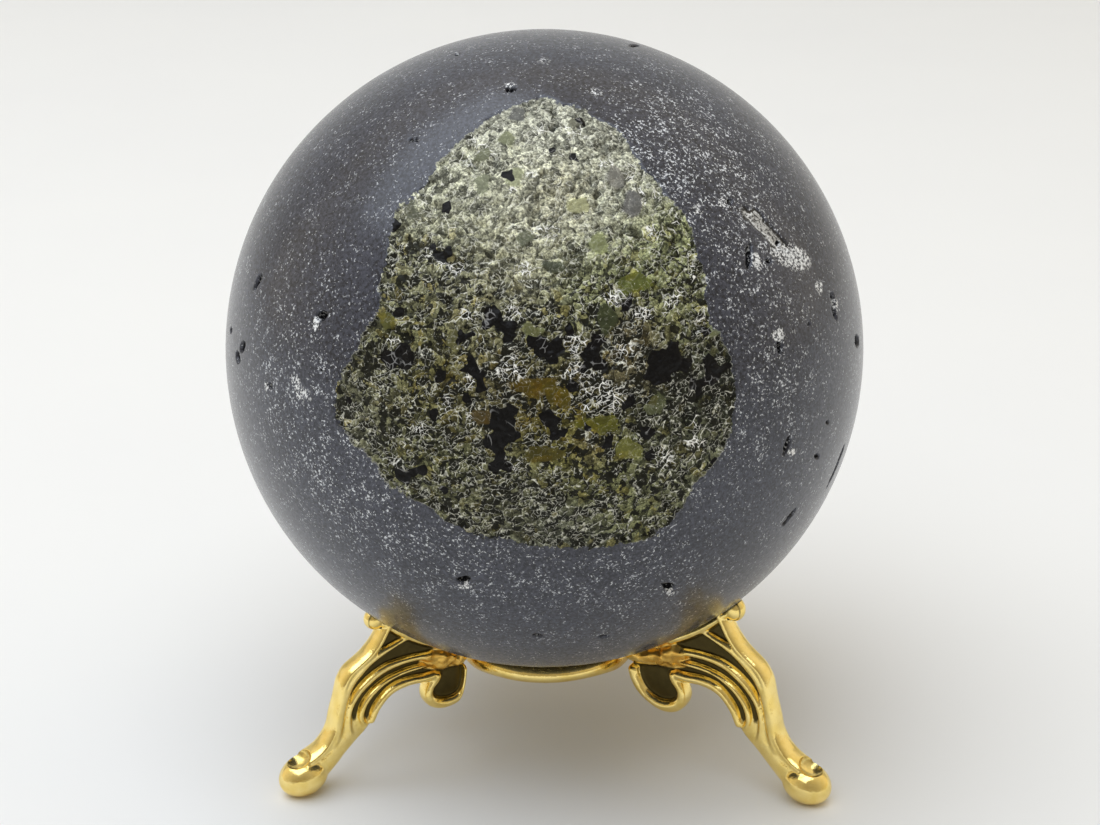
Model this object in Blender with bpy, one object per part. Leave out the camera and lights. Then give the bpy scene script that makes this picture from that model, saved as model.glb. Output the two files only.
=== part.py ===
"""A polished ball of dark basalt with a patch of green peridotite in its face, resting on a
small gilt stand: a wire ring carried by three scrolled legs.

The origin is on the table under the middle of the ring. +Z is up, and -Y is the front, where
the peridotite shows. Lengths are in metres and angles in degrees, except where a name ends
in _MM. A place on the ball is given as it looks from the middle of the peridotite: a clock
bearing, 0 up and 90 to the right, and a reach, the angle away from that middle.
"""
import math

import bmesh
import bpy
import numpy as np
from mathutils import Matrix

MM = 0.001

# The ball
BALL_RADIUS = 0.035
BALL_HEIGHT = 0.0467
PATCH_ELEVATION = 20
# How far the peridotite reaches from its middle, every 12 degrees of bearing from the top
PATCH_REACH = (45, 43, 38, 34, 32, 29, 28, 29, 31, 34, 35, 35, 37, 37, 35,
               33, 33, 33, 33, 35, 36, 38, 35, 29, 29, 30, 33, 35, 38, 42)
BASALT_SPACING = 4.1 * MM
PATCH_SPACING = 1.5 * MM
OUTLINE_POINTS = 64
GRAIN_RELIEF = 0.38 * MM
PLUCK_DEPTH = 0.85 * MM
PLUCK_SHARE = 0.11
SEED = 7

# Gas holes that show at the front: bearing, reach, width in mm
FRONT_HOLES = (
    (353, 49, 1.7), (12, 49, 1.5), (18, 74, 1.6), (328, 46, 1.0), (52, 64, 1.2),
    (52, 42, 1.0), (67, 39, 1.7), (61, 45, 1.8), (69, 48, 1.9), (75, 51, 1.4),
    (82, 59, 1.8), (90, 72, 1.5), (90, 42, 1.9), (112, 48, 1.7), (112, 60, 1.1),
    (112, 74, 2.2), (125, 61, 1.6), (154, 51, 1.9), (200, 45, 2.1), (182, 57, 1.0),
    (170, 60, 1.0), (279, 40, 1.7), (285, 60, 2.0), (272, 64, 1.6), (264, 54, 1.4),
    (261, 44, 1.5), (292, 60, 1.3),
)
BACK_HOLES = 26
BACK_HOLES_FROM = 82
BACK_HOLE_WIDTH_MM = (1.0, 2.2)
HOLE_DEPTH_PER_WIDTH = 0.62
HOLE_RIM_POINTS = 8
HOLE_FLOOR_POINTS = 5

# The stand
CONTACT_GAP = 0.3 * MM
RING_RADIUS = 9.6 * MM
WIRE_RADIUS = 0.9 * MM
# Height of the wire's middle: the ball sits on the legs, just clear of the ring
RING_HEIGHT = 11.1 * MM
RING_SEGMENTS = 44
WIRE_SIDES = 7
# Each leg's bearing, and how far it is bent outwards, in mm
LEGS = {
    "stand_leg_front_right": (57, 1.2),
    "stand_leg_back": (180, -0.7),
    "stand_leg_front_left": (300, -1.2),
}
BEND_FROM_MM = 10.5
BEND_TO_MM = 14.0
# A leg bent outwards also rises, because its top follows the ball: the rise for each mm
# outwards grows by this share per mm of height above the ankle
RISE_PER_MM = 0.05
RISE_FROM_MM = 4.0

# One row per cross-section of a leg, from the ball's seat down to the foot, in mm:
# inner edge (r, z), outer edge (r, z), half thickness, and where the four ribs lie
# between the two edges. The first rows reach in to the ring.
LEG_SECTIONS_MM = (
    ((10.4, 13.9), (21.6, 20.9), 1.3, (0.12, 0.24, 0.38, 0.62)),
    ((10.4, 11.8), (22.6, 19.2), 1.3, (0.12, 0.26, 0.42, 0.69)),
    ((12.8, 10.9), (23.6, 17.5), 1.3, (0.12, 0.30, 0.47, 0.80)),
    ((15.6, 10.3), (24.8, 16.2), 1.3, (0.14, 0.38, 0.58, 0.86)),
    ((17.9, 10.1), (26.1, 15.3), 1.4, (0.17, 0.42, 0.63, 0.86)),
    ((19.8, 10.3), (27.2, 14.5), 1.4, (0.17, 0.41, 0.63, 0.84)),
    ((21.4, 10.1), (28.0, 13.3), 1.4, (0.15, 0.42, 0.64, 0.84)),
    ((22.7, 9.3), (28.4, 11.9), 1.4, (0.14, 0.43, 0.67, 0.85)),
    ((23.5, 8.2), (28.8, 10.4), 1.4, (0.15, 0.43, 0.68, 0.86)),
    ((24.2, 7.2), (29.2, 9.0), 1.4, (0.16, 0.40, 0.66, 0.85)),
    ((25.1, 6.1), (29.5, 7.7), 1.4, (0.18, 0.36, 0.58, 0.82)),
    ((26.4, 5.0), (30.1, 6.5), 1.5, (0.20, 0.36, 0.56, 0.80)),
    ((27.8, 3.8), (31.0, 5.5), 1.6, (0.20, 0.36, 0.56, 0.78)),
    ((29.2, 2.4), (32.1, 4.9), 1.7, (0.20, 0.36, 0.56, 0.78)),
    ((30.6, 1.1), (33.3, 4.4), 1.6, (0.20, 0.36, 0.56, 0.78)),
)
SECTION_STEPS = 1.2
# How thick the leg is on its ribs, from the inner one out, and in the grooves between them
RIB_THICKNESS = (0.90, 0.95, 1.0, 1.0)
OUTER_RIDGE = ((0.94, 1.0), (0.985, 0.66))
GROOVE_AT_TOP = 0.42
GROOVE_AT_ANKLE = 0.80
GROOVE_RUN = (0.30, 0.72)

# Rounded masses of a leg, in mm: middle (r, z) and half sizes (radial, sideways, up)
SCROLL_TIP_MM = ((23.3, 20.1), (1.25, 1.2, 1.25))
FOOT_MM = ((33.0, 2.35), (2.7, 2.6, 2.6))
TOE_LIP_MM = ((34.5, 3.7), (1.15, 1.9, 1.3))
FOOT_DISH_MM = ((33.9, 5.2), (1.3, 1.15, 1.4))
# The drop scroll under the neck, dished on both faces: middle, half sizes, and its turned
# profile as (share of the half size, half thickness in mm)
DROP_MIDDLE_MM = (14.7, 8.6)
DROP_SIZE_MM = (3.1, 2.5)
DROP_PROFILE = ((0.0, 0.55), (0.48, 0.55), (0.62, 1.2), (0.86, 1.25), (1.0, 0.65))
DROP_SIDES = 12
SMALL_SIDES = 10
SMALL_BANDS = 7
CUTTER_DETAIL = 5
# Edges shorter than this, left where two shapes cross, are closed up
SLIVER = 0.03 * MM


def clear_scene():
    for item in list(bpy.data.objects):
        bpy.data.objects.remove(item, do_unlink=True)


def make_material(name, colour, roughness, metallic):
    material = bpy.data.materials.new(name)
    material.use_nodes = True
    shader = material.node_tree.nodes["Principled BSDF"]
    shader.inputs["Base Color"].default_value = (*colour, 1.0)
    shader.inputs["Roughness"].default_value = roughness
    shader.inputs["Metallic"].default_value = metallic
    return material


def add_object(name, mesh, *materials):
    item = bpy.data.objects.new(name, mesh)
    bpy.context.scene.collection.objects.link(item)
    for material in materials:
        if material.name not in mesh.materials:
            mesh.materials.append(material)
    return item


def mesh_from(name, points, faces):
    mesh = bpy.data.meshes.new(name)
    mesh.from_pydata([tuple(point) for point in points], [], faces)
    mesh.validate()
    return mesh


# Places on the ball

def on_ball(bearing, reach):
    """Unit direction from the ball's middle, for arrays or numbers in degrees."""
    bearing = np.radians(bearing)
    reach = np.radians(reach)
    lift = math.radians(PATCH_ELEVATION)
    across = np.sin(reach) * np.sin(bearing)
    upward = np.sin(reach) * np.cos(bearing)
    outward = np.cos(reach)
    y = -outward * math.cos(lift) + upward * math.sin(lift)
    z = outward * math.sin(lift) + upward * math.cos(lift)
    return np.stack([across, y, z], axis=-1)


def bearing_and_reach(directions):
    middle = on_ball(0.0, 0.0)
    up = on_ball(0.0, 90.0)
    reach = np.degrees(np.arccos(np.clip(directions @ middle, -1, 1)))
    bearing = np.degrees(np.arctan2(directions[:, 0], directions @ up)) % 360
    return bearing, reach


def patch_reach(bearing):
    """Reach of the peridotite's edge at a bearing, on a smooth closed curve."""
    radii = np.array(PATCH_REACH, dtype=float)
    place = np.asarray(bearing, dtype=float) / 360 * len(radii)
    first = np.floor(place).astype(int)
    t = place - first
    p0, p1, p2, p3 = (radii[(first + k) % len(radii)] for k in (-1, 0, 1, 2))
    return p1 + 0.5 * t * (p2 - p0 + t * (2 * p0 - 5 * p1 + 4 * p2 - p3
                                          + t * (3 * (p1 - p2) + p3 - p0)))


def even_directions(spacing):
    """Directions spread evenly over the ball, about `spacing` apart on its surface."""
    area_each = spacing ** 2 * math.sqrt(3) / 2
    count = round(4 * math.pi * BALL_RADIUS ** 2 / area_each)
    index = np.arange(count) + 0.5
    height = 1 - 2 * index / count
    turn = index * math.pi * (3 - math.sqrt(5))
    level = np.sqrt(1 - height ** 2)
    return np.stack([level * np.cos(turn), level * np.sin(turn), height], axis=-1)


def hole_list(rng):
    """All gas holes as (direction, radius): those seen in front, and some on the far side."""
    holes = [(on_ball(bearing, reach), width * MM / 2) for bearing, reach, width in FRONT_HOLES]
    lowest, highest = BACK_HOLE_WIDTH_MM
    while len(holes) < len(FRONT_HOLES) + BACK_HOLES:
        bearing = rng.uniform(0, 360)
        reach = math.degrees(math.acos(rng.uniform(-0.98, math.cos(math.radians(BACK_HOLES_FROM)))))
        radius = rng.uniform(lowest, highest) * MM / 2
        direction = on_ball(bearing, reach)
        clear = all(math.acos(min(1, direction @ other)) * BALL_RADIUS > 3 * (radius + size)
                    for other, size in holes)
        if clear:
            holes.append((direction, radius))
    return holes


def around(direction, angle_away, turns):
    """Directions on a small circle round `direction`."""
    side = np.cross(direction, (0.0, 0.0, 1.0))
    side /= np.linalg.norm(side)
    other = np.cross(direction, side)
    away = np.asarray(angle_away)[:, None]
    circle = np.cos(turns)[:, None] * side + np.sin(turns)[:, None] * other
    return np.cos(away) * direction + np.sin(away) * circle


def ball_points():
    """Directions and depths below the polished surface of every corner of the ball."""
    rng = np.random.default_rng(SEED)
    holes = hole_list(rng)

    axis_ends = np.concatenate([np.eye(3), -np.eye(3)])
    coarse = even_directions(BASALT_SPACING)
    nearest_end = np.arccos(np.clip((coarse @ axis_ends.T).max(axis=1), -1, 1))
    coarse = coarse[nearest_end > 0.6 * BASALT_SPACING / BALL_RADIUS]
    bearing, reach = bearing_and_reach(coarse)
    margin = math.degrees(0.5 * BASALT_SPACING / BALL_RADIUS)
    coarse = coarse[reach > patch_reach(bearing) + margin]
    coarse = np.concatenate([coarse, axis_ends])

    fine = even_directions(PATCH_SPACING)
    bearing, reach = bearing_and_reach(fine)
    margin = math.degrees(0.55 * PATCH_SPACING / BALL_RADIUS)
    fine = fine[reach < patch_reach(bearing) - margin]
    relief = GRAIN_RELIEF * rng.random(len(fine))
    plucked = rng.random(len(fine)) < PLUCK_SHARE
    relief[plucked] = PLUCK_DEPTH * rng.uniform(0.7, 1.0, plucked.sum())

    turns = np.arange(OUTLINE_POINTS) * 360 / OUTLINE_POINTS
    outline = on_ball(turns, patch_reach(turns))

    directions = np.concatenate([coarse, outline, fine])
    depths = np.concatenate([np.zeros(len(coarse) + len(outline)), relief])
    for direction, radius in holes:
        angle = np.arccos(np.clip(directions @ direction, -1, 1)) * BALL_RADIUS
        keep = angle > 1.45 * radius
        directions, depths = directions[keep], depths[keep]
    for direction, radius in holes:
        depth = 2 * radius * HOLE_DEPTH_PER_WIDTH
        for count, share, sunk in ((HOLE_RIM_POINTS, 1.0, 0.0), (HOLE_FLOOR_POINTS, 0.62, 0.8)):
            turns = (np.arange(count) + rng.uniform(-0.12, 0.12, count)) * 2 * math.pi / count
            away = share * radius * rng.uniform(0.88, 1.12, count) / BALL_RADIUS
            directions = np.concatenate([directions, around(direction, away, turns)])
            depths = np.concatenate([depths, np.full(count, sunk * depth)])
        directions = np.concatenate([directions, direction[None]])
        depths = np.concatenate([depths, [depth]])
    return directions, depths


def make_ball(basalt, peridotite):
    directions, depths = ball_points()
    hull = bmesh.new()
    for direction in directions:
        hull.verts.new(direction)
    bmesh.ops.convex_hull(hull, input=hull.verts)
    hull.verts.index_update()
    faces = []
    for face in hull.faces:
        corners = [vert.index for vert in face.verts]
        if face.normal.dot(face.calc_center_median()) < 0:
            corners.reverse()
        faces.append(corners)
    hull.free()

    middle = np.array([0.0, 0.0, BALL_HEIGHT])
    points = middle + directions * (BALL_RADIUS - depths)[:, None]
    mesh = mesh_from("peridotite_sphere", points, faces)
    ball = add_object("peridotite_sphere", mesh, basalt, peridotite)
    for face in mesh.polygons:
        towards = directions[list(face.vertices)].mean(axis=0)
        towards /= np.linalg.norm(towards)
        bearing, reach = bearing_and_reach(towards[None])
        face.material_index = int(reach[0] < patch_reach(bearing)[0])
    return ball


# The stand

def torus_mesh(name, wire, segments, sides):
    points = []
    faces = []
    for i in range(segments):
        turn = 2 * math.pi * i / segments
        for j in range(sides):
            round_wire = 2 * math.pi * (j + 0.5) / sides
            reach = RING_RADIUS + wire * math.cos(round_wire)
            height = RING_HEIGHT + wire * math.sin(round_wire)
            points.append((reach * math.cos(turn), reach * math.sin(turn), height))
            faces.append((i * sides + j, (i + 1) % segments * sides + j,
                          (i + 1) % segments * sides + (j + 1) % sides, i * sides + (j + 1) % sides))
    return mesh_from(name, points, faces)


def smooth_rows(rows, steps):
    """Rows of numbers followed by a smooth curve, with `steps` times as many rows."""
    rows = np.array(rows, dtype=float)
    last = len(rows) - 1
    out = []
    for place in np.linspace(0, last, round(last * steps) + 1):
        first = min(int(place), last - 1)
        t = place - first
        p0, p1, p2, p3 = (rows[min(max(first + k, 0), last)] for k in (-1, 0, 1, 2))
        out.append(p1 + 0.5 * t * (p2 - p0 + t * (2 * p0 - 5 * p1 + 4 * p2 - p3
                                                  + t * (3 * (p1 - p2) + p3 - p0))))
    return np.array(out)


def section_points(row, along):
    """Corners of one cross-section: out along one face of the leg and back along the other."""
    inner, outer, half, ribs = row[0:2], row[2:4], row[4], row[5:9]
    start, end = GROOVE_RUN
    t = min(max((along - start) / (end - start), 0), 1)
    groove = GROOVE_AT_TOP + (GROOVE_AT_ANKLE - GROOVE_AT_TOP) * t
    steps = []
    for k, rib in enumerate(ribs):
        steps.append((rib, RIB_THICKNESS[k]))
        following = ribs[k + 1] if k + 1 < len(ribs) else OUTER_RIDGE[0][0]
        steps.append(((rib + following) / 2, groove))
    steps.extend(OUTER_RIDGE)
    near = [(*(inner + share * (outer - inner)), thick * half) for share, thick in steps]
    far = [(r, z, -side) for r, z, side in reversed(near)]
    loop = [(*inner, 0.0), *near, (*outer, 0.0), *far]
    return [(r * MM, side * MM, z * MM) for r, z, side in loop]


def bent(place, out):
    """A place (r, z) of a leg in mm, moved by the leg's bend once it has left the ring."""
    r, z = place
    t = min(max((r - BEND_FROM_MM) / (BEND_TO_MM - BEND_FROM_MM), 0), 1)
    moved = out * t * t * (3 - 2 * t)
    return r + moved, z + moved * RISE_PER_MM * max(z - RISE_FROM_MM, 0)


def loft_mesh(out):
    flat_rows = [(*bent(inner, out), *bent(outer, out), half, *ribs)
                 for inner, outer, half, ribs in LEG_SECTIONS_MM]
    rows = smooth_rows(flat_rows, SECTION_STEPS)
    points = []
    faces = []
    for k, row in enumerate(rows):
        loop = section_points(row, k / (len(rows) - 1))
        size = len(loop)
        for j in range(size):
            if k:
                a = (k - 1) * size
                b = k * size
                following = (j + 1) % size
                faces.append((a + j, a + following, b + following, b + j))
        points.extend(loop)
    faces.append(tuple(reversed(range(size))))
    faces.append(tuple(len(points) - size + j for j in range(size)))
    return mesh_from("leg_loft", points, faces)


def ellipsoid_mesh(name, middle, sizes):
    shape = bmesh.new()
    bmesh.ops.create_uvsphere(shape, u_segments=SMALL_SIDES, v_segments=SMALL_BANDS, radius=1.0)
    place = Matrix.Translation((middle[0] * MM, 0, middle[1] * MM))
    stretch = Matrix.Diagonal((sizes[0] * MM, sizes[1] * MM, sizes[2] * MM, 1))
    bmesh.ops.transform(shape, matrix=place @ stretch, verts=shape.verts)
    mesh = bpy.data.meshes.new(name)
    shape.to_mesh(mesh)
    shape.free()
    return mesh


def drop_scroll_mesh(middle):
    """The dished drop: its profile turned about a sideways axis and made oval."""
    profile = [*DROP_PROFILE, *((share, -side) for share, side in reversed(DROP_PROFILE))]
    points = []
    faces = []
    for share, side in profile:
        for j in range(DROP_SIDES if share else 1):
            turn = 2 * math.pi * j / DROP_SIDES
            points.append(((middle[0] + DROP_SIZE_MM[0] * share * math.cos(turn)) * MM,
                           side * MM,
                           (middle[1] + DROP_SIZE_MM[1] * share * math.sin(turn)) * MM))
    last = len(points) - 1
    rings = len(profile) - 2
    for j in range(DROP_SIDES):
        following = (j + 1) % DROP_SIDES
        faces.append((0, 1 + j, 1 + following))
        for k in range(rings - 1):
            a = 1 + k * DROP_SIDES
            b = a + DROP_SIDES
            faces.append((a + j, b + j, b + following, a + following))
        end = 1 + (rings - 1) * DROP_SIDES
        faces.append((last, end + following, end + j))
    return mesh_from("drop_scroll", points, faces)


def ball_cutter_mesh():
    shape = bmesh.new()
    bmesh.ops.create_icosphere(shape, subdivisions=CUTTER_DETAIL, radius=BALL_RADIUS + CONTACT_GAP)
    bmesh.ops.translate(shape, vec=(0, 0, BALL_HEIGHT), verts=shape.verts)
    mesh = bpy.data.meshes.new("ball_cutter")
    shape.to_mesh(mesh)
    shape.free()
    return mesh


def table_cutter_mesh():
    shape = bmesh.new()
    depth = 10 * MM
    bmesh.ops.create_cube(shape, size=1.0)
    bmesh.ops.scale(shape, vec=(2 * BALL_RADIUS, 2 * BALL_RADIUS, depth), verts=shape.verts)
    bmesh.ops.translate(shape, vec=(BALL_RADIUS, 0, -depth / 2), verts=shape.verts)
    mesh = bpy.data.meshes.new("table_cutter")
    shape.to_mesh(mesh)
    shape.free()
    return mesh


def outward(mesh):
    shape = bmesh.new()
    shape.from_mesh(mesh)
    bmesh.ops.recalc_face_normals(shape, faces=shape.faces)
    shape.to_mesh(mesh)
    shape.free()
    return mesh


def leg_mesh(out):
    """One leg in the XZ plane, growing outwards along +X, as a single closed mesh."""
    leg = add_object("leg_blank", outward(loft_mesh(out)))
    masses = {name: ellipsoid_mesh(name, bent(middle, out), sizes) for name, (middle, sizes) in (
        ("scroll_tip", SCROLL_TIP_MM), ("foot", FOOT_MM), ("toe_lip", TOE_LIP_MM),
        ("foot_dish", FOOT_DISH_MM))}
    steps = (
        ("UNION", drop_scroll_mesh(bent(DROP_MIDDLE_MM, out))),
        ("UNION", masses["scroll_tip"]),
        ("UNION", masses["foot"]),
        ("UNION", masses["toe_lip"]),
        ("DIFFERENCE", masses["foot_dish"]),
        ("DIFFERENCE", ball_cutter_mesh()),
        ("DIFFERENCE", torus_mesh("ring_cutter", WIRE_RADIUS + CONTACT_GAP, RING_SEGMENTS, SMALL_SIDES)),
        ("DIFFERENCE", table_cutter_mesh()),
    )
    helpers = []
    for operation, mesh in steps:
        helper = add_object(mesh.name, outward(mesh))
        helper.hide_render = True
        helper.display_type = "WIRE"
        helpers.append(helper)
        boolean = leg.modifiers.new(mesh.name, "BOOLEAN")
        boolean.operation = operation
        boolean.solver = "EXACT"
        boolean.object = helper
    bpy.context.view_layer.update()
    evaluated = leg.evaluated_get(bpy.context.evaluated_depsgraph_get())
    shape = bmesh.new()
    shape.from_mesh(evaluated.to_mesh())
    evaluated.to_mesh_clear()
    for item in (leg, *helpers):
        bpy.data.objects.remove(item, do_unlink=True)
    bmesh.ops.triangulate(shape, faces=shape.faces)
    bmesh.ops.dissolve_degenerate(shape, edges=shape.edges, dist=SLIVER)
    bmesh.ops.triangulate(shape, faces=shape.faces)
    mesh = bpy.data.meshes.new("stand_leg")
    shape.to_mesh(mesh)
    shape.free()
    mesh.shade_smooth()
    mesh.set_sharp_from_angle(angle=math.radians(35))
    return mesh


def make_stand(gold):
    ring = add_object("stand_ring", outward(torus_mesh("stand_ring", WIRE_RADIUS, RING_SEGMENTS,
                                                       WIRE_SIDES)), gold)
    ring.data.shade_smooth()
    for name, (bearing, out) in LEGS.items():
        leg = add_object(name, leg_mesh(out), gold)
        leg.rotation_euler.z = math.radians(bearing - 90)


def main():
    clear_scene()
    basalt = make_material("basalt", (0.050, 0.052, 0.062), 0.38, 0.0)
    peridotite = make_material("peridotite", (0.255, 0.265, 0.170), 0.50, 0.0)
    gold = make_material("gilt_metal", (0.830, 0.610, 0.220), 0.20, 1.0)
    make_ball(basalt, peridotite)
    make_stand(gold)


main()
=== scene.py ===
"""The looks of a polished ball of dark basalt with a patch of green peridotite in its face,
resting on a small gilt stand.

Shapes are worked out in millimetres and turned into metres when a mesh is made. A place on
the ball is given as it looks from the middle of the peridotite: a clock bearing, 0 up and 90
to the right, and a reach, the angle away from that middle, both in degrees.
"""

import math

import bmesh
import bpy
import numpy as np
from mathutils import Matrix, Vector, kdtree


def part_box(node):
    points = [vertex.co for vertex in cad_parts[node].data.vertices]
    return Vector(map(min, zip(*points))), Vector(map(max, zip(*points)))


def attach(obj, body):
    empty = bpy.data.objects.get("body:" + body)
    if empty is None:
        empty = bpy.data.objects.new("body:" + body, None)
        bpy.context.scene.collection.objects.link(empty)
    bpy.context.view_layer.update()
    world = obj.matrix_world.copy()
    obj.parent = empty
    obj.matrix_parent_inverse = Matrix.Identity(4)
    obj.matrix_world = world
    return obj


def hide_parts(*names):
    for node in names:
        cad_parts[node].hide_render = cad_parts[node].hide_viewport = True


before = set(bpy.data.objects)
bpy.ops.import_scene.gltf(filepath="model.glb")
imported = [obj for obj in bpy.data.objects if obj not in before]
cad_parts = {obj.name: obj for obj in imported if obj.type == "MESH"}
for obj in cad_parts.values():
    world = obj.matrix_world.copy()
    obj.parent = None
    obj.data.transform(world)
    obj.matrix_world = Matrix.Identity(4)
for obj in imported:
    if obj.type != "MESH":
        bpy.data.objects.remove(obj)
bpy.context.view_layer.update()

MM = 0.001
stone_low, stone_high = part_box("peridotite_sphere")
ring_low, ring_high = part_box("stand_ring")

# The ball
BALL_RADIUS = (stone_high.x - stone_low.x) / 2 / MM
BALL_HEIGHT = (stone_high.z + stone_low.z) / 2 / MM
PATCH_ELEVATION = 20
# How far the peridotite reaches from its middle, every 12 degrees of bearing from the top
PATCH_REACH = (45, 43, 38, 34, 32, 29, 28, 29, 31, 34, 35, 35, 37, 37, 35,
               33, 33, 33, 33, 35, 36, 38, 35, 29, 29, 30, 33, 35, 38, 42)
BACK_HOLES_FROM = 82
BACK_HOLES = 26
BACK_HOLE_WIDTH = (1.0, 2.2)
SEED = 7

# Marks on the ball start with a bearing, a reach, a half length and half width in mm, and the
# turn of the long way, clockwise from north as seen from outside. First the gas holes.
FRONT_HOLES = (
    (353, 48.5, 0.6, 0.45, 100), (344, 66.0, 0.5, 0.25, 90), (17, 73.2, 1.6, 0.35, 120),
    (66, 39.2, 1.5, 0.38, 30), (69, 43.1, 0.45, 0.28, 100), (66, 47.5, 0.5, 0.3, 65),
    (52, 42.0, 0.4, 0.3, 55), (82, 59.1, 1.4, 0.6, 15), (90, 41.8, 0.6, 0.45, 15),
    (85, 49.8, 0.3, 0.2, 75), (89, 70.6, 1.1, 0.6, 120), (112, 48.4, 0.95, 0.45, 25),
    (112, 59.4, 0.6, 0.25, 115), (105, 59.1, 0.3, 0.2, 115), (112, 72.8, 2.4, 0.5, 30),
    (125, 61.3, 1.1, 0.4, 45), (279, 39.6, 0.75, 0.6, 85), (284, 59.7, 1.0, 0.5, 25),
    (271, 63.6, 0.8, 0.6, 40), (269, 66.3, 0.9, 0.6, 90), (263, 53.3, 0.45, 0.35, 90),
    (265, 39.3, 0.2, 0.2, 40), (274, 71.8, 0.6, 0.3, 75), (153, 50.8, 1.0, 0.5, 135),
    (200, 44.2, 0.9, 0.5, 60), (182, 57.2, 0.6, 0.4, 85), (169, 60.0, 0.6, 0.4, 95),
    (328, 44.7, 0.35, 0.2, 110), (329, 44.1, 0.25, 0.2, 125),
)
# Black glassy grains
DARK_GRAINS = (
    (314, 22.6, 0.9, 0.8, 150), (301, 9.6, 1.2, 0.9, 110), (302, 6.7, 1.0, 0.8, 90),
    (252, 11.7, 1.5, 0.9, 170), (267, 23.4, 1.8, 1.2, 80), (208, 14.1, 2.2, 1.4, 0),
    (208, 17.2, 1.2, 1.1, 10), (201, 19.9, 1.3, 0.9, 85), (86, 0.7, 1.3, 1.2, 90),
    (85, 8.2, 0.9, 0.9, 85), (99, 7.5, 1.0, 0.8, 150), (101, 9.5, 0.6, 0.6, 100),
    (103, 18.4, 1.5, 1.3, 105), (94, 19.8, 1.7, 1.3, 110), (96, 22.3, 0.9, 0.8, 100),
    (97, 28.0, 1.3, 0.9, 5), (228, 31.1, 1.9, 0.6, 80), (63, 14.9, 0.6, 0.5, 15),
    (280, 13.1, 0.8, 0.4, 175), (263, 15.8, 0.5, 0.4, 85), (239, 15.2, 0.5, 0.5, 55),
    (180, 10.0, 0.9, 0.4, 10), (176, 11.9, 0.8, 0.7, 0), (172, 13.5, 0.8, 0.6, 95),
    (147, 17.9, 0.6, 0.6, 145), (131, 21.8, 1.1, 0.8, 105), (144, 11.3, 0.6, 0.4, 65),
    (120, 16.2, 0.6, 0.4, 0), (145, 6.8, 0.7, 0.5, 95), (116, 7.5, 0.5, 0.5, 115),
    (104, 26.0, 0.9, 0.7, 105), (314, 24.9, 0.5, 0.4, 155), (303, 2.7, 0.5, 0.5, 120),
)
# Smooth whole grains, each with its colour on screen
CLEAR_GRAINS = (
    (64, 10.8, 1.5, 1.0, 5, (50, 56, 36)), (331, 3.5, 1.0, 0.8, 90, (104, 108, 74)),
    (223, 14.6, 1.1, 0.8, 85, (72, 60, 34)), (55, 18.1, 1.8, 1.1, 95, (86, 92, 40)),
    (28, 19.0, 1.2, 1.1, 65, (132, 138, 96)), (23, 31.3, 1.4, 0.9, 10, (116, 114, 108)),
    (31, 28.3, 1.4, 0.9, 25, (98, 97, 98)), (8, 40.1, 0.9, 0.7, 85, (100, 100, 86)),
    (350, 18.2, 0.9, 0.7, 125, (84, 88, 70)), (354, 42.0, 0.9, 0.9, 130, (94, 95, 94)),
    (350, 37.0, 0.9, 0.8, 105, (112, 116, 88)), (343, 34.8, 0.9, 0.7, 100, (104, 108, 84)),
    (340, 29.4, 1.2, 0.9, 160, (116, 120, 98)), (317, 32.3, 1.6, 0.7, 140, (76, 78, 64)),
    (7, 13.0, 1.1, 0.7, 90, (58, 64, 52)), (145, 14.7, 2.2, 0.9, 95, (84, 84, 30)),
    (141, 21.4, 1.4, 1.1, 105, (104, 105, 52)), (180, 16.8, 1.9, 0.9, 90, (74, 68, 28)),
    (276, 14.7, 1.0, 0.8, 175, (90, 88, 56)), (193, 6.2, 2.4, 1.1, 90, (84, 70, 22)),
    (167, 7.7, 1.5, 1.1, 130, (82, 72, 22)), (281, 26.3, 1.0, 0.8, 85, (88, 88, 46)),
    (84, 28.0, 0.9, 0.8, 25, (104, 112, 88)), (117, 19.8, 1.2, 1.0, 105, (84, 88, 62)),
    (14, 24.1, 1.2, 1.1, 75, (150, 150, 112)), (351, 29.2, 1.1, 1.0, 160, (134, 138, 108)),
)
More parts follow.
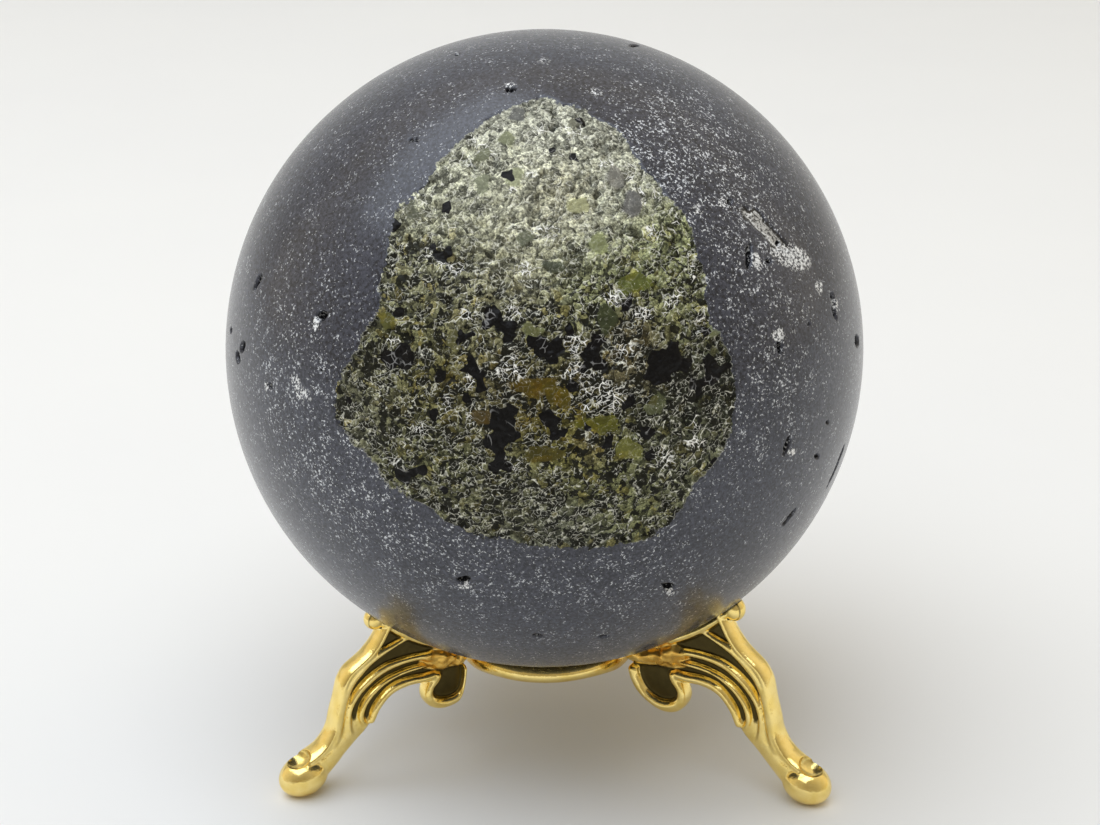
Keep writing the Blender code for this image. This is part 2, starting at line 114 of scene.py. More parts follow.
# Where pale crumbled edges crowd in the peridotite, and how strongly
PATCH_CRUMBS = (
    (348, 13.0, 1.0, 0.6, 90, 0.9), (310, 21.6, 0.6, 0.5, 95, 0.8), (313, 19.1, 0.8, 0.6, 90, 0.8),
    (338, 35.0, 0.9, 0.8, 135, 0.6), (349, 26.6, 0.7, 0.4, 115, 0.6), (356, 29.3, 0.6, 0.5, 90, 0.6),
    (19, 33.4, 0.9, 0.5, 90, 1), (26, 33.3, 1.1, 0.6, 25, 1), (31, 31.1, 0.9, 0.3, 160, 0.9),
    (34, 29.9, 1.0, 0.3, 20, 1), (36, 32.8, 0.9, 0.5, 25, 0.7), (43, 26.5, 0.8, 0.7, 120, 0.9),
    (47, 30.6, 1.0, 0.4, 25, 0.8), (63, 27.6, 1.0, 0.4, 20, 0.9), (56, 29.2, 1.0, 0.3, 20, 0.6),
    (56, 14.2, 1.4, 0.8, 95, 0.9), (71, 17.0, 1.1, 0.6, 95, 1), (70, 22.1, 1.5, 0.5, 50, 1),
    (81, 26.7, 1.3, 0.8, 15, 0.8), (81, 4.8, 1.1, 1.0, 90, 1), (129, 9.0, 2.5, 1.3, 115, 0.7),
    (127, 13.3, 1.6, 1.3, 100, 0.75), (121, 5.5, 1.1, 0.5, 90, 0.8), (240, 6.0, 1.7, 1.3, 90, 0.6),
    (295, 13.4, 0.8, 0.6, 90, 0.9), (274, 24.8, 0.7, 0.5, 85, 0.9), (242, 18.1, 0.8, 0.5, 0, 0.7),
    (320, 7.4, 1.1, 0.7, 120, 0.8), (133, 27.0, 1.2, 0.9, 150, 1), (122, 29.5, 1.3, 0.6, 120, 0.7),
    (116, 28.0, 0.7, 0.6, 150, 0.6), (197, 19.1, 0.9, 0.9, 15, 0.6), (247, 13.0, 0.7, 0.5, 0, 0.7),
    (227, 16.4, 0.8, 0.4, 0, 0.6), (234, 32.2, 1.0, 0.8, 50, 0.5), (359, 38.4, 1.0, 0.8, 90, 0.5),
    (8, 38.3, 1.4, 1.1, 85, 0.5), (3, 18.7, 1.9, 1.0, 90, 0.5), (311, 24.7, 1.0, 0.6, 85, 0.5),
    (320, 34.0, 1.6, 0.4, 15, 0.7), (343, 36.8, 2.1, 0.7, 120, 0.5), (145, 11.4, 0.5, 0.5, 145, 0.9),
    (92, 12.7, 1.2, 1.0, 95, 0.5), (238, 24.2, 0.7, 0.6, 55, 0.6),
)
# White crumbly mineral on the basalt, mostly beside the holes, and how strong
CRUSTS = (
    (70, 49.5, 3.0, 1.2, 115, 1), (68, 40.4, 0.9, 0.6, 10, 0.9), (78, 54.9, 0.7, 0.5, 85, 1),
    (87, 41.5, 0.9, 0.6, 100, 0.8), (82, 60.1, 0.8, 0.5, 50, 0.7), (51, 40.5, 0.7, 0.5, 75, 0.6),
    (11, 48.5, 0.6, 0.5, 60, 0.9), (260, 44.3, 0.9, 0.8, 55, 0.9), (263, 45.9, 1.1, 0.4, 100, 0.7),
    (277, 40.5, 0.7, 0.4, 175, 0.9), (48, 35.4, 0.7, 0.6, 15, 0.5), (113, 50.7, 0.9, 0.3, 110, 0.8),
    (263, 54.7, 0.5, 0.4, 35, 0.7), (153, 52.7, 0.8, 0.4, 130, 0.7), (199, 45.5, 0.9, 0.4, 75, 0.8),
    (353, 49.8, 0.7, 0.4, 85, 0.6), (1, 57.0, 0.9, 0.4, 170, 0.5), (17, 57.4, 0.9, 0.4, 110, 0.6),
    (23, 47.2, 0.9, 0.3, 140, 0.8), (344, 67.1, 0.5, 0.2, 75, 0.4), (108, 44.3, 0.8, 0.2, 105, 0.5),
    (104, 38.9, 0.6, 0.4, 115, 0.4),
)
# Smooth grey filled hollows in the basalt
FILLED_HOLLOWS = ((62, 45.9, 2.9, 0.8, 145), (59, 45.4, 1.1, 0.9, 175), (65, 46.7, 1.3, 0.9, 125))
# Where white flecks crowd in the basalt: bearing, reach, spread in degrees, strength
FLECK_CLOUDS = (
    (40, 50, 16, 0.55), (62, 38, 12, 0.45), (30, 40, 10, 0.4), (95, 42, 12, 0.35),
    (110, 38, 10, 0.3), (200, 40, 14, 0.35), (235, 42, 14, 0.4), (255, 48, 14, 0.35),
    (160, 42, 14, 0.3), (275, 46, 12, 0.25),
)

# Tones of the peridotite: bearing, reach, spread in degrees, colour on screen. The pale tones near the top,
# round bearing 0, also hold a painted reflection of the overhead light.
PATCH_TONES = (
    (0, 38, 9, (136, 137, 124)), (0, 24, 9, (160, 160, 140)), (330, 30, 8, (138, 139, 121)),
    (22, 26, 7, (142, 143, 128)), (345, 14, 7, (132, 131, 110)), (312, 22, 8, (98, 98, 76)),
    (290, 30, 7, (92, 92, 72)), (300, 12, 7, (90, 89, 66)), (35, 12, 7, (100, 104, 72)),
    (48, 24, 7, (104, 108, 76)), (75, 24, 6, (98, 100, 72)), (275, 24, 7, (78, 78, 52)),
    (260, 33, 7, (88, 88, 70)), (0, 2, 6, (74, 72, 50)), (90, 12, 7, (78, 74, 54)),
    (82, 14, 3, (92, 82, 62)), (104, 14, 3, (78, 72, 54)), (156, 17, 3, (98, 88, 64)),
    (100, 28, 6, (34, 36, 30)), (113, 23, 6, (30, 32, 25)), (225, 9, 6, (62, 58, 40)),
    (230, 24, 7, (78, 79, 56)), (180, 9, 5, (76, 68, 28)), (165, 16, 6, (78, 76, 36)),
    (150, 24, 7, (86, 88, 60)), (130, 27, 7, (78, 80, 62)), (200, 26, 7, (76, 76, 56)),
    (180, 30, 7, (72, 74, 62)), (252, 18, 6, (84, 80, 48)), (6, 26, 4, (126, 120, 92)),
)


def unit(vectors):
    return vectors / np.linalg.norm(vectors, axis=-1, keepdims=True)


def on_ball(bearing, reach):
    """Unit direction from the ball's middle, for arrays or numbers in degrees."""
    bearing = np.radians(bearing)
    reach = np.radians(reach)
    lift = math.radians(PATCH_ELEVATION)
    across = np.sin(reach) * np.sin(bearing)
    upward = np.sin(reach) * np.cos(bearing)
    outward = np.cos(reach)
    y = -outward * math.cos(lift) + upward * math.sin(lift)
    z = outward * math.sin(lift) + upward * math.cos(lift)
    return np.stack([across, y, z], axis=-1)


def bearing_and_reach(directions):
    middle = on_ball(0.0, 0.0)
    up = on_ball(0.0, 90.0)
    reach = np.degrees(np.arccos(np.clip(directions @ middle, -1, 1)))
    bearing = np.degrees(np.arctan2(directions[:, 0], directions @ up)) % 360
    return bearing, reach


def through(p0, p1, p2, p3, t):
    """The value a share t of the way from p1 to p2 on a smooth curve through four values."""
    bend = 2 * p0 - 5 * p1 + 4 * p2 - p3 + t * (3 * (p1 - p2) + p3 - p0)
    return p1 + 0.5 * t * (p2 - p0 + t * bend)


def patch_reach(bearing):
    """Reach of the peridotite's edge at a bearing, on a smooth closed curve."""
    radii = np.array(PATCH_REACH, dtype=float)
    place = np.asarray(bearing, dtype=float) / 360 * len(radii)
    first = np.floor(place).astype(int)
    t = place - first
    p0, p1, p2, p3 = (radii[(first + k) % len(radii)] for k in (-1, 0, 1, 2))
    return through(p0, p1, p2, p3, t)


def step(values, low, high):
    """0 below low, 1 above high, and a smooth rise between."""
    t = np.clip((values - low) / (high - low), 0, 1)
    return t * t * (3 - 2 * t)


def chance(cells, seed):
    """A repeatable number from 0 to 1 for each cell of a whole-number lattice."""
    x, y, z = (cells[..., k].astype(np.int64) for k in range(3))
    value = (x * 374761393 + y * 668265263 + z * 2246822519 + seed * 3266489917) & 0xFFFFFFFF
    value = ((value ^ (value >> 13)) * 1274126177) & 0xFFFFFFFF
    value = ((value ^ (value >> 15)) * 2246822519) & 0xFFFFFFFF
    return ((value ^ (value >> 16)) & 0xFFFFFF) / 0xFFFFFF


def lumps(points, size, seed):
    """Smooth noise from -1 to 1 with lumps about `size` across, for an array of points."""
    place = points / size + 1000.0
    cell = np.floor(place)
    t = place - cell
    t = t * t * (3 - 2 * t)
    total = np.zeros(points.shape[:-1])
    for corner in np.ndindex(2, 2, 2):
        share = np.prod(np.where(corner, t, 1 - t), axis=-1)
        total += share * chance(cell + corner, seed)
    return 2 * total - 1


def mark_distance(place, mark):
    """How far places are from a mark's middle: 1 on its outline. Places are in mm."""
    bearing, reach, long_way, short_way, turn = mark[:5]
    direction = on_ball(bearing, reach)
    east = unit(np.cross((0.0, 0.0, 1.0), direction))
    north = np.cross(direction, east)
    turn = math.radians(turn)
    along = math.sin(turn) * east + math.cos(turn) * north
    across = math.cos(turn) * east - math.sin(turn) * north
    apart = place - direction * BALL_RADIUS
    return np.sqrt((apart @ along / long_way) ** 2 + (apart @ across / short_way) ** 2
                   + (apart @ direction / long_way) ** 2)


def linear(colour):
    """A colour as it looks on screen, 0 to 255, as the light values of a shader."""
    share = np.asarray(colour, dtype=float) / 255
    return np.where(share <= 0.04045, share / 12.92, ((share + 0.055) / 1.055) ** 2.4)


def mesh_object(name, points_mm, faces):
    mesh = bpy.data.meshes.new(name)
    mesh.from_pydata((np.asarray(points_mm) * MM).tolist(), [], faces)
    mesh.update()
    mesh.shade_smooth()
    piece = bpy.data.objects.new(name, mesh)
    bpy.context.scene.collection.objects.link(piece)
    return piece


def set_values(piece, name, values):
    """A value, a place or a colour for each corner of the mesh, kept under a name."""
    if values.ndim == 1:
        layer = piece.data.attributes.new(name, "FLOAT", "POINT")
        layer.data.foreach_set("value", values.astype(np.float32))
    elif name.endswith("place"):
        layer = piece.data.attributes.new(name, "FLOAT_VECTOR", "POINT")
        layer.data.foreach_set("vector", values.astype(np.float32).ravel())
    else:
        layer = piece.data.attributes.new(name, "FLOAT_COLOR", "POINT")
        rgba = np.concatenate([values, np.ones((len(values), 1))], axis=1)
        layer.data.foreach_set("color", rgba.astype(np.float32).ravel())


# Materials

class Number:
    """A number that varies over a surface. It takes part in sums as plain numbers do."""

    def __init__(self, paint, socket):
        self.paint = paint
        self.socket = socket

    def __add__(self, other):
        return self.paint.math("ADD", self, other)

    def __sub__(self, other):
        return self.paint.math("SUBTRACT", self, other)

    def __rsub__(self, other):
        return self.paint.math("SUBTRACT", other, self)

    def __mul__(self, other):
        return self.paint.math("MULTIPLY", self, other)

    def __abs__(self):
        return self.paint.math("ABSOLUTE", self)

    def step(self, low, high, start=0.0, end=1.0):
        """`start` below low, `end` above high, and a smooth change between."""
        node = self.paint.put("MapRange", {"Value": self, "From Min": low, "From Max": high,
                                           "To Min": start, "To Max": end},
                              interpolation_type="SMOOTHSTEP")
        return Number(self.paint, node.outputs["Result"])


class Paint:
    """Builds a node material. Colours and places that vary are node sockets."""

    def __init__(self, name):
        self.material = bpy.data.materials.new(name)
        self.material.use_nodes = True
        self.tree = self.material.node_tree
        self.shader = self.tree.nodes["Principled BSDF"]
        place = self.put("TexCoord").outputs["Object"]
        self.mm = self.vector("MULTIPLY", place, (1 / MM,) * 3)

    def put(self, kind, inputs=(), **settings):
        node = self.tree.nodes.new("ShaderNode" + kind)
        for key, value in settings.items():
            setattr(node, key, value)
        for key, value in dict(inputs).items():
            self.feed(node.inputs[key], value)
        return node

    def feed(self, socket, value):
        """Links a varying value to an input, or sets the input to a fixed one."""
        if isinstance(value, Number):
            value = value.socket
        if isinstance(value, bpy.types.NodeSocket):
            self.tree.links.new(value, socket)
        elif isinstance(value, tuple) and socket.type == "RGBA":
            socket.default_value = (*value, 1.0)
        else:
            socket.default_value = value

    def give(self, name, value):
        """Sets an input of the surface shader."""
        self.feed(self.shader.inputs[name], value)

    def vector(self, operation, a, b):
        return self.put("VectorMath", {0: a, 1: b}, operation=operation).outputs[0]

    def math(self, operation, a, b=0.0, clamp=False):
        node = self.put("Math", {0: a, 1: b}, operation=operation, use_clamp=clamp)
        return Number(self, node.outputs[0])

    def most(self, first, *others):
        """The greatest of some numbers at each place."""
        for other in others:
            first = self.math("MAXIMUM", first, other)
        return first

    def mix(self, share, a, b, blend="MIX"):
        node = self.put("Mix", {0: share, 6: a, 7: b}, data_type="RGBA", blend_type=blend)
        return node.outputs[2]

    def noise(self, size_mm, detail=2.0, roughness=0.5, at=None):
        """Noise with lumps about size_mm across, 0 to 1."""
        place = at if at is not None else self.mm
        node = self.put("TexNoise", {"Vector": place, "Scale": 1 / size_mm, "Detail": detail,
                                     "Roughness": roughness})
        return Number(self, node.outputs["Fac"])

    def cells(self, size_mm, at, feature="F1"):
        return self.put("TexVoronoi", {"Vector": at, "Scale": 1 / size_mm}, feature=feature).outputs

    def edges(self, size_mm, at):
        """Distance in mm to the nearest edge between cells about size_mm across."""
        return Number(self, self.cells(size_mm, at, "DISTANCE_TO_EDGE")["Distance"]) * size_mm

    def spots(self, size_mm, at):
        """Distance in mm to the middle of the nearest cell, and that cell's random colour."""
        cell = self.cells(size_mm, at)
        return Number(self, cell["Distance"]) * size_mm, cell["Color"]

    def grains(self, size_mm, at):
        """The nearest cell's random colour, and how far up its lit side a place is, -0.5 to 0.5, for painted
        light and shade.
        """
        cell = self.cells(size_mm, at)
        away = self.vector("SUBTRACT", at, cell["Position"])
        along = self.put("VectorMath", {0: away, 1: LIT_SIDE}, operation="DOT_PRODUCT")
        return cell["Color"], self.math("DIVIDE", along.outputs["Value"], size_mm)

    def channel(self, colour, name):
        return Number(self, self.put("SeparateColor", {0: colour}).outputs[name])

    def swirl(self, size_mm, amount_mm):
        """The place in mm, pushed about by noise."""
        node = self.put("TexNoise", {"Vector": self.mm, "Scale": 1 / size_mm, "Detail": 1.0})
        centred = self.vector("SUBTRACT", node.outputs["Color"], (0.5, 0.5, 0.5))
        scaled = self.vector("MULTIPLY", centred, (2 * amount_mm,) * 3)
        return self.vector("ADD", self.mm, scaled)

    def attribute(self, name, output):
        return self.put("Attribute", attribute_name=name).outputs[output]

    def value(self, name):
        """A number kept with the mesh."""
        return Number(self, self.attribute(name, "Fac"))

    def bump(self, height, distance_mm):
        node = self.put("Bump", {"Height": height, "Distance": distance_mm * MM, "Strength": 1.0})
        self.give("Normal", node.outputs["Normal"])


# The ball's surface

FINE_EDGE = 0.2
COARSE_EDGE = 1.6
EDGE_GROWTH = 0.45
START_LEVEL = 6
FINE_BORDER = 0.4


def hole_list():
    """All gas holes as marks: those seen in front, and some on the far side."""
    rng = np.random.default_rng(SEED)
    holes = list(FRONT_HOLES)
    while len(holes) < len(FRONT_HOLES) + BACK_HOLES:
        bearing = rng.uniform(0, 360)
        level = rng.uniform(-0.98, math.cos(math.radians(BACK_HOLES_FROM)))
        radius = rng.uniform(*BACK_HOLE_WIDTH) / 2
        reach = math.degrees(math.acos(level))
        direction = on_ball(bearing, reach)
        apart = [math.acos(min(1, direction @ on_ball(*other[:2]))) * BALL_RADIUS for other in holes]
        if all(gap > 3 * (radius + other[2]) for gap, other in zip(apart, holes)):
            holes.append((bearing, reach, radius, radius * rng.uniform(0.6, 1.0), rng.uniform(0, 180)))
    return holes


def inside_patch(directions):
    """Distance in mm inside the peridotite's edge, negative outside it."""
    bearing, reach = bearing_and_reach(directions)
    smooth = np.radians(patch_reach(bearing) - reach) * BALL_RADIUS
    place = directions * BALL_RADIUS
    return smooth + 0.75 * lumps(place, 2.4, 21) + 0.4 * lumps(place, 0.9, 22)


def wanted_edge(directions, holes):
    """Longest edge in mm that the surface may have at each direction."""
    away = np.maximum(-inside_patch(directions) - FINE_BORDER, 0)
    for bearing, reach, long_way, *_ in [*holes, *FILLED_HOLLOWS]:
        chord = np.linalg.norm(directions - on_ball(bearing, reach), axis=1) * BALL_RADIUS
        away = np.minimum(away, np.maximum(chord - 1.15 * long_way, 0))
    return np.minimum(FINE_EDGE + EDGE_GROWTH * away, COARSE_EDGE)


def split_long_edges(points, faces, holes):
    """Halves each edge that is too long, and rebuilds the triangles beside it."""
    ends = np.sort(faces[:, [[0, 1], [1, 2], [2, 0]]], axis=2)
    keys, which = np.unique(ends[..., 0] * len(points) + ends[..., 1], return_inverse=True)
    which = which.reshape(-1, 3)
    a, b = keys // len(points), keys % len(points)
    middle = unit(points[a] + points[b])
    length = np.linalg.norm(points[a] - points[b], axis=1) * BALL_RADIUS
    long = length > wanted_edge(middle, holes)
    number = np.full(len(keys), -1)
    number[long] = len(points) + np.arange(long.sum())
    points = np.concatenate([points, middle[long]])
    new = number[which]
    count = (new >= 0).sum(axis=1)
    made = [faces[count == 0]]

    def turned(rows, first):
        order = (first[:, None] + np.arange(3)) % 3
        return np.take_along_axis(faces[rows], order, 1), np.take_along_axis(new[rows], order, 1)

    rows = np.nonzero(count == 1)[0]
    f, m = turned(rows, (new[rows] >= 0).argmax(axis=1))
    made += [np.stack([f[:, 0], m[:, 0], f[:, 2]], 1), np.stack([m[:, 0], f[:, 1], f[:, 2]], 1)]

    rows = np.nonzero(count == 2)[0]
    f, m = turned(rows, (new[rows] < 0).argmax(axis=1) + 1)
    made.append(np.stack([m[:, 0], f[:, 1], m[:, 1]], 1))
    one = np.linalg.norm(points[f[:, 0]] - points[m[:, 1]], axis=1)
    other = np.linalg.norm(points[m[:, 0]] - points[f[:, 2]], axis=1)
    short = (one < other)[:, None]
    made.append(np.where(short, np.stack([f[:, 0], m[:, 0], m[:, 1]], 1),
                         np.stack([f[:, 0], m[:, 0], f[:, 2]], 1)))
    made.append(np.where(short, np.stack([f[:, 0], m[:, 1], f[:, 2]], 1),
                         np.stack([m[:, 0], m[:, 1], f[:, 2]], 1)))

    rows = np.nonzero(count == 3)[0]
    f, m = faces[rows], new[rows]
    made += [np.stack([f[:, 0], m[:, 0], m[:, 2]], 1), np.stack([m[:, 0], f[:, 1], m[:, 1]], 1),
             np.stack([m[:, 2], m[:, 1], f[:, 2]], 1), m]
    return points, np.concatenate(made), int(long.sum())


def relax(points, faces, rounds):
    """Evens out the triangles by moving each corner towards the mean of its neighbours."""
    for _ in range(rounds):
        total = np.zeros_like(points)
        count = np.zeros(len(points))
        for a, b in ((0, 1), (1, 2), (2, 0)):
            for one, other in ((a, b), (b, a)):
                np.add.at(total, faces[:, one], points[faces[:, other]])
                np.add.at(count, faces[:, one], 1)
        points = unit(0.4 * points + 0.6 * total / count[:, None])
    return points


def ball_grid(holes):
    shape = bmesh.new()
    bmesh.ops.create_icosphere(shape, subdivisions=START_LEVEL, radius=1.0)
    points = unit(np.array([vert.co for vert in shape.verts], dtype=float))
    faces = np.array([[vert.index for vert in face.verts] for face in shape.faces])
    shape.free()
    split = 1
    while split:
        points, faces, split = split_long_edges(points, faces, holes)
    return relax(points, faces, 3), faces


# Grains, with lengths in mm

GRAIN_TRIES = 26000
GRAINS_TO = 47
PATCH_MARGIN = 1.6
FAR_EDGE = 0.6
BLACK_SHARE = 0.015
SUNK_DEPTH = 0.13
PULLED_SHARE = 0.13
PULLED_DEPTH = (0.2, 0.5)
BLACK_DEPTH = (0.02, 0.25)
GRAIN_TILT = 0.1
CRACK_WIDTH = 0.13
CRACK_DEPTH = 0.13
RIM_DEPTH = 0.14
HOLE_REACH = 2.2
PLAIN_FLECKS = 0.15


def grain_size(place):
    """Wanted half spacing of the grains in mm: coarse in the upper right, fine in streaks."""
    coarse = 0.5 + 0.5 * lumps(place, 7.0, 31)
    fine = step(lumps(place, 4.0, 32), 0.05, 0.45)
    return (0.32 + 0.3 * coarse) * (1 - 0.35 * fine)


def grain_seeds(rng):
    """Middles of the grains, thrown at random and kept apart by the wanted size."""
    bearing = rng.uniform(0, 360, GRAIN_TRIES)
    reach = np.degrees(np.arccos(rng.uniform(math.cos(math.radians(GRAINS_TO)), 1, GRAIN_TRIES)))
    places = on_ball(bearing, reach) * BALL_RADIUS
    keep = np.radians(patch_reach(bearing) - reach) * BALL_RADIUS > -PATCH_MARGIN
    places = places[keep]
    apart = 1.8 * grain_size(places)
    kept = places[:1]
    for place, distance in zip(places, apart):
        if np.all(np.linalg.norm(kept - place, axis=1) > distance):
            kept = np.concatenate([kept, place[None]])
    return kept


def patch_colour(places):
    """Colour of the peridotite at each place, blended from the tones round it."""
    total = np.zeros((len(places), 3))
    weight = np.zeros(len(places))
    for bearing, reach, spread, colour in PATCH_TONES:
        middle = on_ball(bearing, reach) * BALL_RADIUS
        size = math.radians(spread) * BALL_RADIUS
        share = np.exp(-((places - middle) ** 2).sum(axis=1) / size ** 2) + 1e-6
        total += share[:, None] * linear(colour)
        weight += share
    return total / weight[:, None]


def tree_of(points):
    tree = kdtree.KDTree(len(points))
    for k, point in enumerate(points):
        tree.insert(point, k)
    tree.balance()
    return tree


def covered(place, marks):
    """How strongly places are covered by soft-edged marks that end with a strength."""
    share = np.zeros(len(place))
    for mark in marks:
        share = np.maximum(share, mark[-1] * step(-mark_distance(place, mark), -1.5, -0.5))
    return share


def pushed(place, size, amount, seed):
    """Places pushed about by smooth noise, each way by up to `amount`."""
    return place + amount * np.stack([lumps(place, size, seed + k) for k in range(3)], axis=-1)


def tone_of(place, size, seed):
    """Uneven noise from 0 to 1 with lumps about `size` across and smaller ones on them."""
    large = 0.3 * lumps(place, size, seed)
    middling = 0.17 * lumps(place, size / 2, seed + 1)
    return 0.5 + large + middling + 0.08 * lumps(place, size / 4, seed + 2)


def fleck_share(place):
    """How thickly white flecks lie in the basalt at each place."""
    share = np.full(len(place), PLAIN_FLECKS)
    for bearing, reach, spread, strength in FLECK_CLOUDS:
        apart = place - on_ball(bearing, reach) * BALL_RADIUS
        size = math.radians(spread) * BALL_RADIUS
        share += strength * np.exp(-(apart ** 2).sum(axis=1) / size ** 2)
    return share


def find_grains(place, near, seeds, dark):
    """For each corner near the patch: its grain, how far the grain's edge is, and how far inside
    a black grain it lies. Corners further off get the fixed values of the margin."""
    owner = np.zeros(len(place), dtype=int)
    edge = np.full(len(place), FAR_EDGE)
    black = np.full(len(place), -FAR_EDGE)
    tree = tree_of(seeds)
    dark_seeds, light_seeds = seeds[dark], seeds[~dark]
    dark_tree, light_tree = tree_of(dark_seeds), tree_of(light_seeds)
    for vertex, spot in near:
        (_, first, nearest), *others = tree.find_n(spot, 3)
        owner[vertex] = first
        edge[vertex] = min((far ** 2 - nearest ** 2) / (2 * np.linalg.norm(seeds[k] - seeds[first]))
                           for _, k, far in others)
        _, d, to_dark = dark_tree.find(spot)
        _, l, to_light = light_tree.find(spot)
        apart = np.linalg.norm(dark_seeds[d] - light_seeds[l])
        black[vertex] = (to_light ** 2 - to_dark ** 2) / (2 * apart)
    return owner, edge, black


def grain_depth(rng, place, seeds, dark, owner, edge):
    """How deep each corner of the peridotite lies under the ball's round, in mm."""
    count = len(seeds)
    sunk = SUNK_DEPTH * rng.random(count) ** 2
    pulled = rng.random(count) < PULLED_SHARE
    sunk[pulled] = rng.uniform(*PULLED_DEPTH, pulled.sum())
    sunk[dark] = rng.uniform(*BLACK_DEPTH, dark.sum())
    tilt = rng.normal(0, GRAIN_TILT, (count, 3))
    lean = np.abs(((place - seeds[owner]) * tilt[owner]).sum(axis=1))
    crack = np.exp(-(edge / CRACK_WIDTH) ** 2) * (CRACK_DEPTH + 0.1 * lumps(place, 0.9, 51))
    rough = 0.08 * np.maximum(lumps(place, 0.42, 52), 0) + 0.1 * np.maximum(lumps(place, 1.1, 54), 0)
    return sunk[owner] * step(edge, 0.0, 0.18) + lean + crack + rough


def dig_holes(place, holes, depth):
    """Deepens the gas holes, and gives how far inside one each corner lies, as a share."""
    pit = np.full(len(place), -1.0)
    for number, mark in enumerate(holes):
        away = mark_distance(place, mark)
        close = np.nonzero(away < HOLE_REACH)[0]
        out = away[close] * (1 + 0.25 * lumps(place[close], 0.8 * mark[3] + 0.1, 60 + number))
        bowl = np.clip(1 - out ** 2.5, 0, 1) ** 0.5
        depth[close] = np.maximum(depth[close], (0.25 + 1.1 * mark[3]) * bowl)
        pit[close] = np.maximum(pit[close], 1 - out)
    return pit


def make_stone(material):
    """The ball, with its relief in the mesh and what the material needs kept at its corners."""
    rng = np.random.default_rng(SEED)
    holes = hole_list()
    directions, faces = ball_grid(holes)
    place = directions * BALL_RADIUS
    inside = inside_patch(directions)
    near = np.nonzero(inside > -PATCH_MARGIN)[0]
    warped = pushed(pushed(place[near], 0.7, 0.16, 41), 0.3, 0.08, 44)

    seeds = grain_seeds(rng)
    dark = rng.random(len(seeds)) < BLACK_SHARE
    for mark in DARK_GRAINS:
        dark |= mark_distance(seeds, mark) < 1
    owner, edge, black = find_grains(place, list(zip(near, warped)), seeds, dark)

    colour = patch_colour(place)
    gloom = 1 - step(colour[:, 1], 0.11, 0.24)
    whole = np.full(len(directions), -1.0)
    cut = place.copy()
    cut[near] = pushed(warped, 1.1, 0.4, 48)
    for mark in CLEAR_GRAINS:
        share = 1 - mark_distance(cut, mark)
        own = 0.85 * step(share, -0.12, 0.12)[:, None]
        colour = colour * (1 - own) + linear(mark[5]) * own
        whole = np.maximum(whole, share)

    depth = grain_depth(rng, place, seeds, dark, owner, edge)
    depth *= 1 - 0.6 * step(whole, -0.1, 0.1)
    depth *= step(inside, 0.0, 0.35)
    rim = np.exp(-((inside - 0.1) / 0.16) ** 2) * step(lumps(place, 2.4, 53), -0.2, 0.5)
    depth += RIM_DEPTH * rim
    pit = dig_holes(place, holes, depth)
    filled = np.full(len(directions), -1.0)
    for mark in FILLED_HOLLOWS:
        filled = np.maximum(filled, 1 - mark_distance(place, mark) * (1 + 0.35 * lumps(place, 0.8, 47)))
    depth += 0.2 * np.exp(-(filled / 0.2) ** 2) + 0.12 * step(filled, 0.0, 0.3)

    net = pushed(pushed(place, 1.3, 0.5, 55), 0.5, 0.2, 58)
    points = directions * (BALL_RADIUS - np.maximum(depth, 0))[:, None]
    points[:, 2] += BALL_HEIGHT
    ball = mesh_object("stone_ball", points, faces.tolist())
    ball.data.materials.append(material)
    for name, values in (
            ("zone_colour", colour), ("gloom", gloom), ("inside_patch", inside),
            ("black_grain", black), ("whole_grain", whole), ("crumbs", covered(place, PATCH_CRUMBS)),
            ("pit", pit), ("crust", covered(place, CRUSTS)), ("filled", filled),
            ("flecks", fleck_share(place)), ("net_place", net),
            ("fine_place", pushed(place, 0.6, 0.22, 84)),
            ("net_open", tone_of(place, 1.5, 71)), ("fine_open", tone_of(place, 1.0, 74)),
            ("gap_open", tone_of(net, 0.55, 77)), ("cloud", tone_of(place, 6.0, 80))):
        set_values(ball, name, values)
    return ball


# The stone's material

BASALT_DARK = tuple(linear((25, 27, 36)))
BASALT_LIGHT = tuple(linear((68, 71, 84)))
BASALT_FLECK = tuple(linear((226, 230, 236)))
# Near black painted as shade inside the gas holes and in the groove round the filled hollows
HOLE_SHADE = (0.006, 0.006, 0.008)
FILLED_DARK = (0.03, 0.03, 0.033)
FILLED_PALE = (0.48, 0.48, 0.47)
FILLED_EDGE = (0.72, 0.73, 0.74)
CRUST_GREY = (0.34, 0.35, 0.36)
CRUST_WHITE = (0.84, 0.85, 0.86)
AMBER = (1.25, 1.0, 0.4)
# Painted shade for the gaps between the peridotite's grains
GAP_SHADE = (0.009, 0.009, 0.006)
PALE_EDGE = (0.84, 0.84, 0.74)
WHITE_EDGE = (0.98, 0.98, 0.94)
COAL_DARK = (0.002, 0.002, 0.003)
COAL_PALE = (0.012, 0.011, 0.01)
GLINT = (0.5, 0.5, 0.5)
BORDER = (0.36, 0.36, 0.31)
# Sizes of the shader's cells and noises in mm
STROKE_CELL = 0.46
DOT_CELL = 0.55
DOT_RADIUS = 0.13
GROUND_GRAIN = 0.36
GRIT = 0.3
WIDE_GRAIN = 0.95
FINE_GRAIN = 0.5
SPECKLE = 0.24
TOOTH = 0.45
STONE_BUMP = 0.07
# Direction of the light painted into the peridotite's grains
LIT_SIDE = (-0.4, -0.25, 0.88)
COAT_SHARE = 0.8
COAT_ROUGHNESS = 0.22
SPECULAR_LEVEL = 0.1


